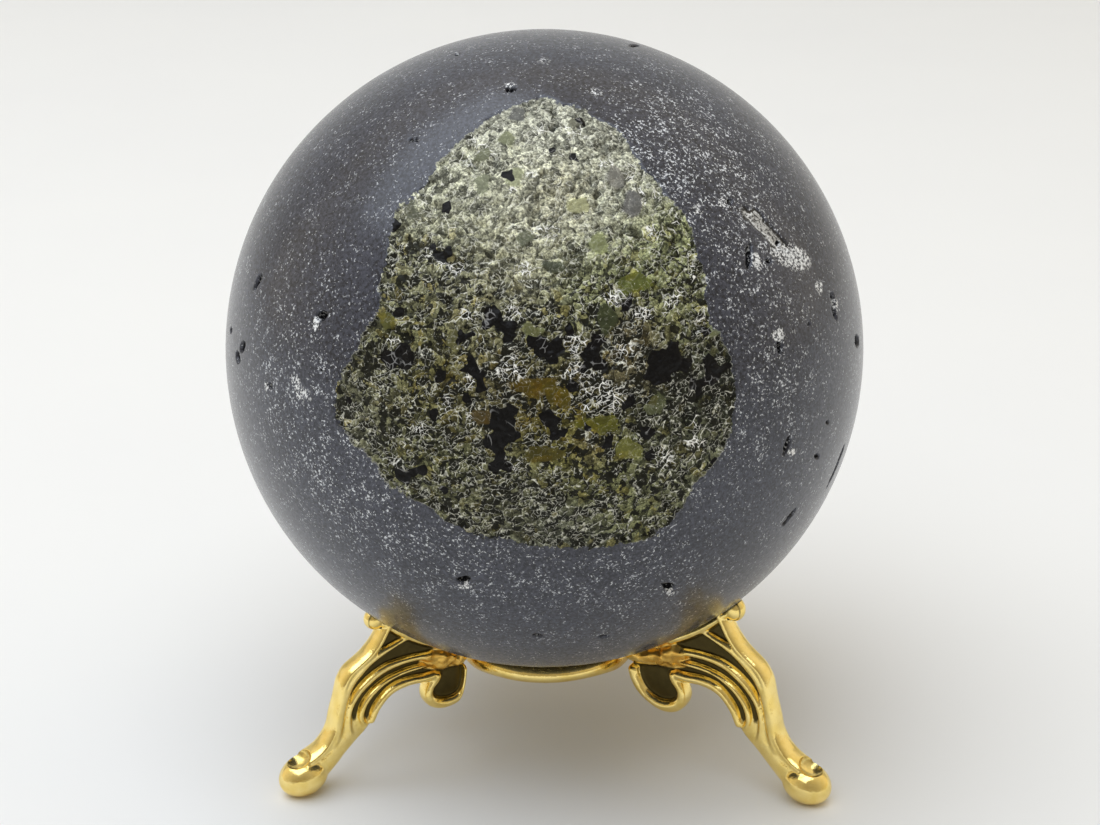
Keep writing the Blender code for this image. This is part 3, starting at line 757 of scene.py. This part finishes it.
def basalt_colour(paint):
    """Dark blue-grey ground, white flecks, holes and crusts: the colour, and where it is crusty."""
    cloud = (paint.value("cloud") - 0.5) * 0.1
    ground = (paint.noise(GROUND_GRAIN, 3.0, 0.75) + cloud).step(0.34, 0.68)
    amount = paint.value("flecks")
    ragged = paint.swirl(0.2, 0.12)
    grit = paint.noise(GRIT, 2.0, 0.7, at=ragged)
    crowd = (paint.noise(1.6, 1.0) - 0.5) * 0.3
    plenty = grit + crowd + amount * 0.11
    stroke = paint.edges(STROKE_CELL, ragged).step(0.065, 0.02) * plenty.step(0.63, 0.69)
    apart, cell = paint.spots(DOT_CELL, ragged)
    chosen = paint.math("LESS_THAN", paint.channel(cell, "Red"), amount * 0.55)
    dot = (apart - paint.channel(cell, "Green") * DOT_RADIUS).step(0.04, 0.0)
    dot = dot * chosen * paint.channel(cell, "Blue").step(0.0, 1.0, 0.3, 1.0)
    light = plenty.step(0.5, 0.78, 0.4, 1.0) * amount.step(0.2, 0.8, 0.7, 1.0)
    fleck = paint.most(paint.most(dot, stroke) * light, plenty.step(0.62, 0.82) * 0.22)
    basalt = paint.mix(fleck, paint.mix(ground, BASALT_DARK, BASALT_LIGHT), BASALT_FLECK)

    filled = paint.value("filled")
    grey = paint.mix(grit.step(0.4, 0.56), FILLED_DARK, FILLED_PALE)
    basalt = paint.mix(filled.step(0.0, 0.1), basalt, grey)
    # painted shade in the groove round each filled hollow
    rim = abs(filled).step(0.22, 0.08) * grit.step(0.68, 0.56)
    basalt = paint.mix(rim, basalt, HOLE_SHADE)
    edge = abs(filled - 0.3).step(0.12, 0.04) * grit.step(0.46, 0.54)
    basalt = paint.mix(edge, basalt, FILLED_EDGE)
    pit = paint.value("pit")
    # painted shade inside the gas holes
    basalt = paint.mix(pit.step(-0.02, 0.12), basalt, HOLE_SHADE)
    share = paint.value("crust")
    crust = (grit + share * 0.14).step(0.55, 0.61) * share.step(0.05, 0.6) * pit.step(0.25, 0.05)
    inner = pit.step(0.02, 0.16) * pit.step(0.6, 0.3) * grit.step(0.54, 0.62) * 0.5
    crust = paint.most(crust, inner)
    white = paint.mix(grit.step(0.42, 0.62), CRUST_GREY, CRUST_WHITE)
    return paint.mix(crust, basalt, white), crust


def peridotite_colour(paint):
    """Clear olive grains, pale crumbled edges with painted highlights and glints, painted shade in the gaps:
    colour, pale share and black share.
    """
    crumbs = paint.value("crumbs")
    gloom = paint.value("gloom")
    net_open = paint.value("net_open")
    fine_open = paint.value("fine_open")
    net = paint.attribute("net_place", "Vector")
    fine = paint.attribute("fine_place", "Vector")
    edge_wide = paint.edges(WIDE_GRAIN, net)
    edge_fine = paint.edges(FINE_GRAIN, fine)
    cell, lit = paint.grains(WIDE_GRAIN, net)
    small_cell, small_lit = paint.grains(FINE_GRAIN, fine)
    speckle = paint.noise(SPECKLE, 2.0, 0.75)

    whole = paint.value("whole_grain").step(0.02, 0.14)
    tone = paint.channel(cell, "Red") + paint.channel(small_cell, "Red")
    shade = tone.step(0.2, 1.8, 0.4, 1.85) * speckle.step(0.3, 0.7, 0.42, 1.75)
    # painted light and shade: each grain lighter on its lit side and darker on the other
    shade = shade * (lit + small_lit * 0.8).step(-0.55, 0.55, 0.7, 1.4)
    shade = (shade - 1.0) * whole.step(0.0, 1.0, 1.0, 0.25) + 1.0
    grey = paint.put("CombineColor", {0: shade, 1: shade, 2: shade}).outputs[0]
    grain = paint.mix(1.0, paint.attribute("zone_colour", "Color"), grey, "MULTIPLY")
    amber = paint.channel(cell, "Green").step(0.7, 0.95) * gloom * 0.5
    grain = paint.mix(amber, grain, paint.mix(1.0, grain, AMBER, "MULTIPLY"))

    # painted shade: dark in the gaps and crevices between grains, among the crumbs, and on each grain's
    # unlit side
    gaps = (paint.value("gap_open") + (speckle * 0.35 - gloom * 0.05)).step(0.62, 0.56)
    side = edge_wide.step(0.17, 0.08) * lit.step(-0.02, -0.2) * fine_open.step(0.4, 0.52)
    loose = crumbs.step(0.3, 0.9) * speckle.step(0.56, 0.48)
    gaps = paint.most(gaps, side, loose)
    gaps = gaps * gloom.step(0.0, 1.0, 0.42, 0.95) * whole.step(0.0, 1.0, 1.0, 0.1)
    grain = paint.mix(gaps, grain, GAP_SHADE)

    # pale lines: real crumbled grain edges, with painted highlights only where the edges face the painted
    # light
    arc = (paint.noise(0.55, 2.0, 0.6) + crumbs * 0.08).step(0.44, 0.54)
    wide = edge_wide.step(0.085, 0.03) * (net_open + crumbs * 0.35).step(0.42, 0.54)
    wide = wide * arc * lit.step(-0.16, 0.06)
    thin = edge_fine.step(0.06, 0.02) * (fine_open + crumbs * 0.15).step(0.44, 0.54)
    thin = thin * small_lit.step(-0.02, 0.16) * 0.72
    crumb = speckle.step(0.6, 0.65) * crumbs.step(0.55, 1.0) * 0.7
    line = paint.most(wide, thin) * whole.step(0.0, 1.0, 1.0, 0.2)
    # painted glints: small bright sparkles of reflected light
    line = paint.most(line, crumb, speckle.step(0.67, 0.72, 0.0, 0.8))
    strength = (crumbs + speckle.step(0.42, 0.62, 0.0, 0.75)).step(0.0, 1.0, 0.42, 1.0)
    pale = paint.mix(crumbs.step(0.0, 0.6), PALE_EDGE, WHITE_EDGE)
    grain = paint.mix(line * strength, grain, pale)

    black = (paint.value("black_grain") + (speckle - 0.5) * 0.15).step(0.0, 0.04)
    coal = paint.mix(speckle, COAL_DARK, COAL_PALE)
    glints = edge_wide.step(0.06, 0.02) * net_open.step(0.54, 0.64) * 0.4
    glints = paint.most(glints, line * crumbs.step(0.4, 0.9) * 0.8)
    coal = paint.mix(glints, coal, GLINT)
    return paint.mix(black, grain, coal), line, black


def stone_material():
    paint = Paint("polished_stone")
    basalt, crust = basalt_colour(paint)
    peridotite, line, black = peridotite_colour(paint)
    tooth = paint.noise(TOOTH, 2.0, 0.65)
    inside = paint.value("inside_patch")
    ragged = inside + (tooth - 0.5) * 1.1
    in_patch = ragged.step(-0.04, 0.06)
    colour = paint.mix(in_patch, basalt, peridotite)
    border = abs(ragged).step(0.09, 0.03) * paint.value("cloud").step(0.46, 0.58) * 0.45
    paint.give("Base Color", paint.mix(border, colour, BORDER))

    outside = 1.0 - in_patch
    satin = tooth.step(0.3, 0.7, 0.36, 0.5)
    sugary = black.step(0.0, 1.0, 0.34, 0.16) + line * 0.3
    dull = paint.most(crust, paint.value("pit").step(0.0, 0.1))
    surface = satin * outside + sugary * in_patch
    paint.give("Roughness", paint.math("ADD", surface, dull * 0.4, clamp=True))
    paint.give("Coat Weight", paint.math("SUBTRACT", outside, dull, clamp=True) * COAT_SHARE)
    paint.give("Coat Roughness", COAT_ROUGHNESS)
    paint.give("Specular IOR Level", SPECULAR_LEVEL)
    crumbly = inside.step(0.0, 0.2, 0.08, 1.0)
    paint.bump(paint.noise(0.26, 2.0, 0.65) * crumbly, STONE_BUMP)
    return paint.material


# The stand, in mm

CONTACT_GAP = 0.05
WIRE_RADIUS = 1.1 * (ring_high.z - ring_low.z) / 2 / MM
RING_STEPS = 220
RING_SIDES = 24
RING_RADIUS = (ring_high.x - ring_low.x) / 2 / MM - WIRE_RADIUS
RING_HEIGHT = (ring_high.z + ring_low.z) / 2 / MM
# Each leg's node, piece, bearing and how far it is bent outwards from the mean leg, in mm
LEGS = (("stand_leg_front_right", "gilt_leg_front_right", 57, 1.2),
        ("stand_leg_back", "gilt_leg_back", 180, -0.7),
        ("stand_leg_front_left", "gilt_leg_front_left", 300, -1.2))
# The bend grows between these distances from the middle, and with the height
BEND_FROM, BEND_TO = 10.5, 14.0
RISE_PER_MM = 0.05
RISE_FROM = 4.0

# One row per cross-section of a leg, from the ball's seat down to the foot, in mm:
# inner edge (r, z), outer edge (r, z), half thickness
LEG_SECTIONS = (
    ((10.4, 13.9), (21.6, 20.9), 1.3),
    ((10.4, 11.8), (22.6, 19.2), 1.3),
    ((12.8, 10.9), (23.6, 17.5), 1.3),
    ((15.6, 10.3), (24.8, 16.2), 1.3),
    ((17.9, 10.1), (26.1, 15.3), 1.4),
    ((19.8, 10.3), (27.2, 14.5), 1.4),
    ((21.4, 10.1), (28.0, 13.3), 1.4),
    ((22.7, 9.3), (28.4, 11.9), 1.4),
    ((23.5, 8.2), (28.8, 10.4), 1.4),
    ((24.2, 7.2), (29.2, 9.0), 1.4),
    ((25.1, 6.1), (29.5, 7.7), 1.4),
    ((26.4, 5.0), (30.1, 6.5), 1.5),
    ((27.8, 3.8), (31.0, 5.5), 1.6),
    ((29.2, 2.4), (32.1, 4.9), 1.7),
    ((30.6, 1.1), (33.3, 4.4), 1.6),
)
# The ribs from the outer one in: (r, z), half width in the leg's plane, half width sideways
RIBS = (
    ((18.3, 17.3, 0.38, 0.9), (19.8, 16.9, 0.38, 1.0), (21.7, 16.3, 0.42, 1.1), (23.6, 15.6, 0.55, 1.2),
     (25.4, 14.5, 0.62, 1.3), (26.8, 13.1, 0.62, 1.3), (27.6, 11.5, 0.6, 1.3), (28.1, 9.8, 0.55, 1.3),
     (28.5, 8.0, 0.55, 1.35), (29.0, 6.4, 0.5, 1.4), (29.8, 5.2, 0.5, 1.5)),
    ((15.8, 13.5, 0.5, 1.0), (18.0, 13.9, 0.5, 1.1), (20.3, 14.0, 0.5, 1.15), (22.4, 13.75, 0.6, 1.2),
     (24.2, 13.0, 0.6, 1.25), (25.8, 11.8, 0.55, 1.3), (26.85, 10.4, 0.45, 1.3), (27.35, 8.8, 0.38, 1.25),
     (27.4, 7.2, 0.36, 1.25), (27.1, 6.0, 0.36, 1.2)),
    ((16.6, 12.5, 0.35, 1.15), (18.6, 12.65, 0.35, 1.2), (20.6, 12.55, 0.36, 1.2), (22.4, 12.15, 0.38, 1.25),
     (24.0, 11.3, 0.42, 1.3), (25.1, 10.2, 0.45, 1.3), (25.7, 9.1, 0.45, 1.3), (25.85, 8.0, 0.45, 1.25),
     (25.5, 7.1, 0.45, 1.2), (24.95, 6.7, 0.45, 1.2)),
    ((16.0, 11.0, 0.6, 1.2), (17.8, 10.95, 0.6, 1.25), (19.8, 11.1, 0.65, 1.3), (21.6, 10.8, 0.68, 1.3),
     (22.9, 9.95, 0.65, 1.3), (23.9, 8.8, 0.6, 1.3), (24.4, 7.7, 0.55, 1.25), (24.8, 6.8, 0.5, 1.2)),
)
DROP_RING = (
    (11.6, 10.9, 0.5, 1.15), (11.9, 9.4, 0.5, 1.2), (12.6, 7.9, 0.55, 1.2), (13.8, 7.0, 0.65, 1.25),
    (15.3, 6.8, 0.75, 1.25), (16.6, 7.3, 0.75, 1.25), (17.2, 8.3, 0.65, 1.2), (17.0, 9.4, 0.55, 1.15),
    (16.3, 10.4, 0.7, 1.2), (16.0, 11.4, 0.7, 1.2),
)
RAIL_INSET = 0.5
RAIL_HALF = (0.5, 1.3)
VOXEL = 0.15
SEAT_FROM, SEAT_TO = 17.5, 40.5
# Eggs fused into the leg: middle (r, z), half sizes outwards, sideways and up, and a turn
EGGS = (
    ((14.4, 9.3), (2.8, 0.5, 2.5), 0.0),
    ((23.35, 20.15), (1.2, 1.15, 1.3), 0.0),
    ((32.8, 2.2), (2.85, 2.45, 2.25), 0.25),
    ((12.6, 12.2), (2.2, 1.3, 1.2), 0.0),
    ((15.4, 12.9), (3.0, 1.25, 1.4), -0.4),
)
SOLDER_MIDDLE = (14.7, 13.0)
SOLDER_SIZE = (3.4, 1.6)
DISH_MIDDLE = (33.5, 0.0, 4.75)
DISH_SIZES = (1.55, 1.75, 1.35)


def smooth_row(rows, place):
    """The row of numbers at a place from 0 to 1 along a smooth curve through the rows."""
    last = len(rows) - 1
    at = place * last
    first = min(int(at), last - 1)
    t = at - first
    p0, p1, p2, p3 = (rows[min(max(first + k, 0), last)] for k in (-1, 0, 1, 2))
    return through(p0, p1, p2, p3, t)


def leg_row(place):
    rows = np.array([(*inner, *outer, half) for inner, outer, half in LEG_SECTIONS])
    return smooth_row(rows, place)


def bar(stations, count=70, sides=24):
    """A closed bar in the leg's plane with flattened sides and round ends, through given
    stations of (r, z, half width in the plane, half width sideways)."""
    rows = np.array(stations, float)
    dense = np.array([smooth_row(rows, place) for place in np.linspace(0, 1, count)])
    path = np.stack([dense[:, 0], np.zeros(count), dense[:, 1]], axis=1)
    lengths = np.concatenate([[0], np.cumsum(np.linalg.norm(np.diff(path, axis=0), axis=1))])
    from_end = np.minimum(lengths, lengths[-1] - lengths)
    taper = np.sqrt(np.clip(1 - (1 - np.clip(from_end / dense[:, 2], 0, 1)) ** 2, 0.02, 1))
    radii = dense[:, 2:] * taper[:, None]
    run = unit(np.gradient(path, axis=0))
    across = np.stack([-run[:, 2], np.zeros(count), run[:, 0]], axis=1)
    turns = np.arange(sides) * 2 * math.pi / sides
    flat = np.sign(np.sin(turns)) * np.abs(np.sin(turns)) ** 0.7
    rings = (path[:, None] + np.cos(turns)[None, :, None] * (across * radii[:, :1])[:, None]
             + flat[None, :, None] * (np.array([0.0, 1.0, 0.0]) * radii[:, 1:])[:, None])
    return closed_loops(rings)


def closed_loops(rings):
    """Points and faces of a closed body from equal loops of points, one after another."""
    count, sides = rings.shape[:2]
    points = rings.reshape(-1, 3)
    faces = [(k * sides + j, k * sides + (j + 1) % sides, (k + 1) * sides + (j + 1) % sides,
              (k + 1) * sides + j) for k in range(count - 1) for j in range(sides)]
    faces.append(tuple(reversed(range(sides))))
    faces.append(tuple(len(points) - sides + j for j in range(sides)))
    return points, faces


def blob(middle, sizes, turn):
    """An egg with its long way turned in the leg's plane."""
    shape = bmesh.new()
    bmesh.ops.create_uvsphere(shape, u_segments=32, v_segments=20, radius=1.0)
    stretch = Matrix.Diagonal((*sizes, 1))
    place = Matrix.Translation((middle[0], 0, middle[1])) @ Matrix.Rotation(turn, 4, "Y")
    bmesh.ops.transform(shape, matrix=place @ stretch, verts=shape.verts)
    points = np.array([vert.co for vert in shape.verts])
    faces = [tuple(vert.index for vert in face.verts) for face in shape.faces]
    shape.free()
    return points, faces


def web():
    """The leg's body between and under the ribs: thin at its head, full at the ankle."""
    loops = []
    for place in np.linspace(0, 1, 100):
        row = leg_row(place)
        inner, outer, half = row[0:2], row[2:4], row[4]
        share = np.linspace(0.0, 1.0, 44)
        body = 0.34 + 0.57 * step(place, 0.52, 0.85)
        heel = 0.85 * step(share, 0.76, 0.82) * step(place, 0.42, 0.52)
        ankle = step(place, 0.66, 0.8)
        square = np.clip(1 - np.abs(2 * share - 1) ** 8, 0.0, 1)
        round_ = np.clip(1 - np.abs(2 * share - 1) ** 2.2, 0.0, 1)
        thick = half * np.maximum(body, heel) * np.sqrt(square * (1 - ankle) + round_ * ankle)
        edge = inner + share[:, None] * (outer - inner)
        near = np.stack([edge[:, 0], thick, edge[:, 1]], axis=1)
        far = np.stack([edge[::-1, 0], -thick[::-1], edge[::-1, 1]], axis=1)
        loops.append(np.concatenate([near, far[1:-1]]))
    return closed_loops(np.array(loops))


def rail():
    """The ridge that runs along the leg's outer edge from the knob to the foot."""
    stations = []
    for place in np.linspace(0.0, 1.0, 24):
        row = leg_row(place)
        spot = row[2:4] + unit(row[0:2] - row[2:4]) * RAIL_INSET
        stations.append((*spot, RAIL_HALF[0], RAIL_HALF[1] + 0.25 * step(place, 0.6, 1.0)))
    return bar(stations, 90)


def seat():
    """The thin plate right under the ball, from the ring out to the knob."""
    stations = []
    for angle in np.linspace(SEAT_FROM, SEAT_TO, 12):
        turn = math.radians(angle)
        half = 0.35 + 0.25 * math.sin(math.pi * (angle - SEAT_FROM) / (SEAT_TO - SEAT_FROM))
        reach = BALL_RADIUS + half - 0.1
        stations.append((reach * math.sin(turn), BALL_HEIGHT - reach * math.cos(turn), half, 1.2))
    return bar(stations, 60)


def remeshed(parts, name):
    """All parts fused into one even closed mesh, in mm."""
    shape = bmesh.new()
    for points, faces in parts:
        verts = [shape.verts.new(point) for point in points]
        for face in faces:
            shape.faces.new([verts[k] for k in face])
    bmesh.ops.recalc_face_normals(shape, faces=shape.faces)
    mesh = bpy.data.meshes.new(name)
    shape.to_mesh(mesh)
    shape.free()
    helper = bpy.data.objects.new(name, mesh)
    bpy.context.scene.collection.objects.link(helper)
    fuse = helper.modifiers.new("fuse", "REMESH")
    fuse.mode = "VOXEL"
    fuse.voxel_size = VOXEL
    soften = helper.modifiers.new("soften", "SMOOTH")
    soften.iterations = 4
    soften.factor = 0.5
    bpy.context.view_layer.update()
    evaluated = helper.evaluated_get(bpy.context.evaluated_depsgraph_get())
    made = bpy.data.meshes.new_from_object(evaluated)
    bpy.data.objects.remove(helper, do_unlink=True)
    bpy.data.meshes.remove(mesh)
    points = np.empty(len(made.vertices) * 3)
    made.vertices.foreach_get("co", points)
    normals = np.empty(len(made.vertices) * 3)
    made.vertices.foreach_get("normal", normals)
    faces = [tuple(face.vertices) for face in made.polygons]
    bpy.data.meshes.remove(made)
    return points.reshape(-1, 3), faces, normals.reshape(-1, 3)


def leg_shape():
    """The mean leg: points, faces, how much each corner is solder, and how much it is recess."""
    parts = [web(), rail(), seat(), bar(DROP_RING)]
    parts += [blob(*egg) for egg in EGGS]
    parts += [bar(rib) for rib in RIBS]
    points, faces, normals = remeshed(parts, "leg_fused")
    r, y, z = points.T
    away = np.hypot((r - SOLDER_MIDDLE[0]) / SOLDER_SIZE[0], (z - SOLDER_MIDDLE[1]) / SOLDER_SIZE[1])
    solder = step(-away, -1.25, -0.8)
    # the sunken webs between the ribs, where the gold gets painted shade and dark reflection
    recess = step(1.05 - np.abs(y), 0.15, 0.5) * step(np.abs(normals[:, 1]), 0.35, 0.75)
    recess *= step(z, 4.5, 6.0) * step(-r, -30.5, -29.0) * (1 - solder)
    swell = solder * (0.24 * lumps(points, 0.9, 81) + 0.1 * lumps(points, 0.4, 82))
    swell += 0.04 * lumps(points, 1.6, 83)
    points += normals * swell[:, None]
    dished = pressed_out(points, np.array(DISH_MIDDLE), np.array(DISH_SIZES))
    recess = np.maximum(recess, 0.35 * (np.linalg.norm(dished - points, axis=1) > 0.08))
    return dished, faces, solder, recess


def bent(points, out):
    """The points moved outwards from the ring on, and up or down with their height."""
    share = step(points[:, 0], BEND_FROM, BEND_TO) * out
    moved = points.copy()
    moved[:, 0] += share
    moved[:, 2] += share * RISE_PER_MM * np.maximum(points[:, 2] - RISE_FROM, 0)
    return moved


def pressed_out(points, middle, sizes):
    """Points inside an egg pushed out onto its surface."""
    away = (points - middle) / sizes
    far = np.linalg.norm(away, axis=1)
    inside = far < 1
    moved = points.copy()
    moved[inside] = middle + away[inside] / far[inside][:, None] * sizes
    return moved


def make_legs(gold):
    mean, faces, solder, recess = leg_shape()
    reach = BALL_RADIUS + CONTACT_GAP
    for node, name, bearing, out in LEGS:
        points = bent(mean, out)
        points = pressed_out(points, np.array((0.0, 0.0, BALL_HEIGHT)), np.array((reach, reach, reach)))
        points[:, 2] = np.maximum(points[:, 2], 0)
        turn = math.radians(bearing - 90)
        spin = np.array(Matrix.Rotation(turn, 3, "Z")).T
        leg = mesh_object(name, points @ spin, faces)
        leg.data.materials.append(gold)
        set_values(leg, "solder", solder)
        set_values(leg, "recess", recess)
        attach(leg, "root")
        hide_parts(node)


def make_ring(gold):
    """The wire ring, a little uneven, thickened where a leg is soldered to it."""
    around, sides = RING_STEPS, RING_SIDES
    turns = np.arange(around) * 2 * math.pi / around
    wire = np.arange(sides) * 2 * math.pi / sides
    near_leg = np.zeros(around)
    for _, _, bearing, _ in LEGS:
        apart = (turns - math.radians(bearing - 90) + math.pi) % (2 * math.pi) - math.pi
        near_leg += np.exp(-(apart / 0.32) ** 2)
    axis = np.stack([np.cos(turns), np.sin(turns), np.zeros(around)], axis=1)
    uneven = 1 + 0.05 * lumps(axis * RING_RADIUS, 4.0, 91)
    size = (WIRE_RADIUS * uneven)[:, None, None]
    swell = (1 + 0.5 * near_leg)[:, None, None]
    out = np.cos(wire)[None, :, None] * axis[:, None] * size
    rise = np.sin(wire)[None, :, None] * np.array([0.0, 0.0, 1.0]) * size
    below = rise * np.where(rise[..., 2:] < 0, swell, 1.0)
    points = (axis * RING_RADIUS)[:, None] + out + below + np.array([0.0, 0.0, RING_HEIGHT])
    points = points.reshape(-1, 3)
    faces = [(k * sides + j, (k + 1) % around * sides + j, (k + 1) % around * sides + (j + 1) % sides,
              k * sides + (j + 1) % sides) for k in range(around) for j in range(sides)]
    ring = mesh_object("gilt_ring", points, faces)
    ring.data.materials.append(gold)
    set_values(ring, "solder", np.repeat(0.6 * step(near_leg, 0.45, 0.9), sides))
    set_values(ring, "recess", np.zeros(len(points)))
    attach(ring, "root")
    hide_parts("stand_ring")


GOLD_BRIGHT = (1.0, 0.79, 0.3)
GOLD_DULL = (0.93, 0.7, 0.21)
SOLDER_ORANGE = (0.86, 0.46, 0.07)
SOLDER_YELLOW = (0.82, 0.58, 0.16)
# Painted shade and dark reflection for the recesses and the foot's dish
RECESS_DARK = (0.05, 0.038, 0.014)
RECESS_BROWN = (0.11, 0.085, 0.03)
METAL_BUMP = 0.03


def gold_material():
    """Bright plating, orange where soldered, and painted shade and dark reflection in the recesses."""
    paint = Paint("gilt_metal")
    solder = paint.value("solder")
    bright = paint.mix(paint.noise(1.4, 4.0, 0.6).step(0.35, 0.7), GOLD_BRIGHT, GOLD_DULL)
    orange = paint.mix(paint.noise(0.5, 3.0), SOLDER_ORANGE, SOLDER_YELLOW)
    metal = paint.mix(solder, bright, orange)
    dark = paint.mix(paint.noise(0.8, 3.0), RECESS_DARK, RECESS_BROWN)
    # painted shade and dark reflection on the sunken webs and in the foot's dish
    painted_recess_shade = (paint.value("recess") + paint.noise(0.6, 3.0) * 0.4).step(0.45, 0.85)
    paint.give("Base Color", paint.mix(painted_recess_shade, metal, dark))
    paint.give("Metallic", 1.0)
    rough = paint.noise(0.8, 3.0).step(0.3, 0.7, 0.12, 0.22)
    paint.give("Roughness", rough + solder * 0.14 + painted_recess_shade * 0.25)
    paint.bump(paint.noise(0.5, 3.0, 0.6), METAL_BUMP)
    return paint.material


# Room, light and camera

CAMERA_AWAY = 245.0
CAMERA_PITCH = 21.64
CAMERA_YAW = 0.134
CAMERA_ROLL = -0.5
CAMERA_LENS = 72.29
SENSOR_WIDTH = 36
PAPER_WHITE = (0.8, 0.8, 0.8)
PAPER_WARM = (0.83, 0.83, 0.82)
# The floor's depth behind the ball, the radius of its bend, its height and half width, in mm
FLOOR_DEPTH, FLOOR_BEND, FLOOR_HEIGHT, FLOOR_HALF = 900.0, 350.0, 900.0, 1500.0
SKY_COLOUR = (1.0, 0.9, 0.72, 1)
SOFTBOX_PLACE = (-0.22, -0.14, 0.88)
SOFTBOX_SIZE = (1.2, 1.0)
SOFTBOX_POWER = 8.2
SOFTBOX_COLOUR = (0.75, 0.85, 1.0)


def make_camera():
    lift = math.radians(PATCH_ELEVATION)
    place = Vector((0, -math.cos(lift), math.sin(lift))) * CAMERA_AWAY + Vector((0, 0, BALL_HEIGHT))
    pitch, yaw, roll = (math.radians(angle) for angle in (CAMERA_PITCH, CAMERA_YAW, CAMERA_ROLL))
    ahead = Vector((math.sin(yaw) * math.cos(pitch), math.cos(yaw) * math.cos(pitch), -math.sin(pitch)))
    right = ahead.cross(Vector((0, 0, 1))).normalized()
    up = right.cross(ahead)
    tilted_right = math.cos(roll) * right + math.sin(roll) * up
    tilted_up = -math.sin(roll) * right + math.cos(roll) * up
    camera = bpy.data.objects.new("camera", bpy.data.cameras.new("camera"))
    bpy.context.scene.collection.objects.link(camera)
    turn = Matrix((tilted_right, tilted_up, -ahead)).transposed().to_4x4()
    camera.matrix_world = Matrix.Translation(place * MM) @ turn
    camera.data.lens = CAMERA_LENS
    camera.data.sensor_width = SENSOR_WIDTH
    camera.data.clip_start = 0.005
    camera.data.clip_end = 20
    bpy.context.scene.camera = camera


def make_floor():
    """A pale sheet that curves up into a backdrop far behind."""
    flat = FLOOR_DEPTH - FLOOR_BEND
    profile = [(-FLOOR_DEPTH, 0.0), (flat, 0.0)]
    profile += [(flat + FLOOR_BEND * math.sin(t), FLOOR_BEND - FLOOR_BEND * math.cos(t))
                for t in np.linspace(0, math.pi / 2, 16)[1:]]
    profile.append((FLOOR_DEPTH, FLOOR_HEIGHT))
    points = [(side * FLOOR_HALF, y, z) for y, z in profile for side in (-1, 1)]
    faces = [(2 * k, 2 * k + 1, 2 * k + 3, 2 * k + 2) for k in range(len(profile) - 1)]
    floor = mesh_object("paper_floor", points, faces)
    paint = Paint("white_paper")
    paint.give("Base Color", paint.mix(paint.noise(60.0, 2.0), PAPER_WHITE, PAPER_WARM))
    paint.give("Roughness", 0.9)
    floor.data.materials.append(paint.material)


def area_light(name, place, size, power, colour):
    light = bpy.data.lights.new(name, "AREA")
    light.shape = "RECTANGLE"
    light.size, light.size_y = size
    light.energy = power
    light.color = colour
    lamp = bpy.data.objects.new(name, light)
    bpy.context.scene.collection.objects.link(lamp)
    lamp.location = place
    aim = Vector((0.0, 0.0, 0.035)) - Vector(place)
    lamp.rotation_euler = aim.to_track_quat("-Z", "Y").to_euler()


def make_light():
    world = bpy.data.worlds.new("studio")
    bpy.context.scene.world = world
    world.use_nodes = True
    nodes, links = world.node_tree.nodes, world.node_tree.links
    background = nodes["Background"]
    background.inputs["Color"].default_value = SKY_COLOUR
    direction = nodes.new("ShaderNodeTexCoord")
    apart = nodes.new("ShaderNodeSeparateXYZ")
    links.new(direction.outputs["Generated"], apart.inputs[0])
    ramp = nodes.new("ShaderNodeMapRange")
    for name, value in (("From Min", -0.9), ("From Max", 0.3), ("To Min", 0.36), ("To Max", 0.9)):
        ramp.inputs[name].default_value = value
    links.new(apart.outputs["Y"], ramp.inputs["Value"])
    links.new(ramp.outputs["Result"], background.inputs["Strength"])
    area_light("softbox_above", SOFTBOX_PLACE, SOFTBOX_SIZE, SOFTBOX_POWER, SOFTBOX_COLOUR)
    view = bpy.context.scene.view_settings
    view.view_transform = "Standard"
    view.look = "None"


make_camera()
make_floor()
make_light()
stone = make_stone(stone_material())
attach(stone, "root")
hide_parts("peridotite_sphere")
gilt = gold_material()
make_ring(gilt)
make_legs(gilt)
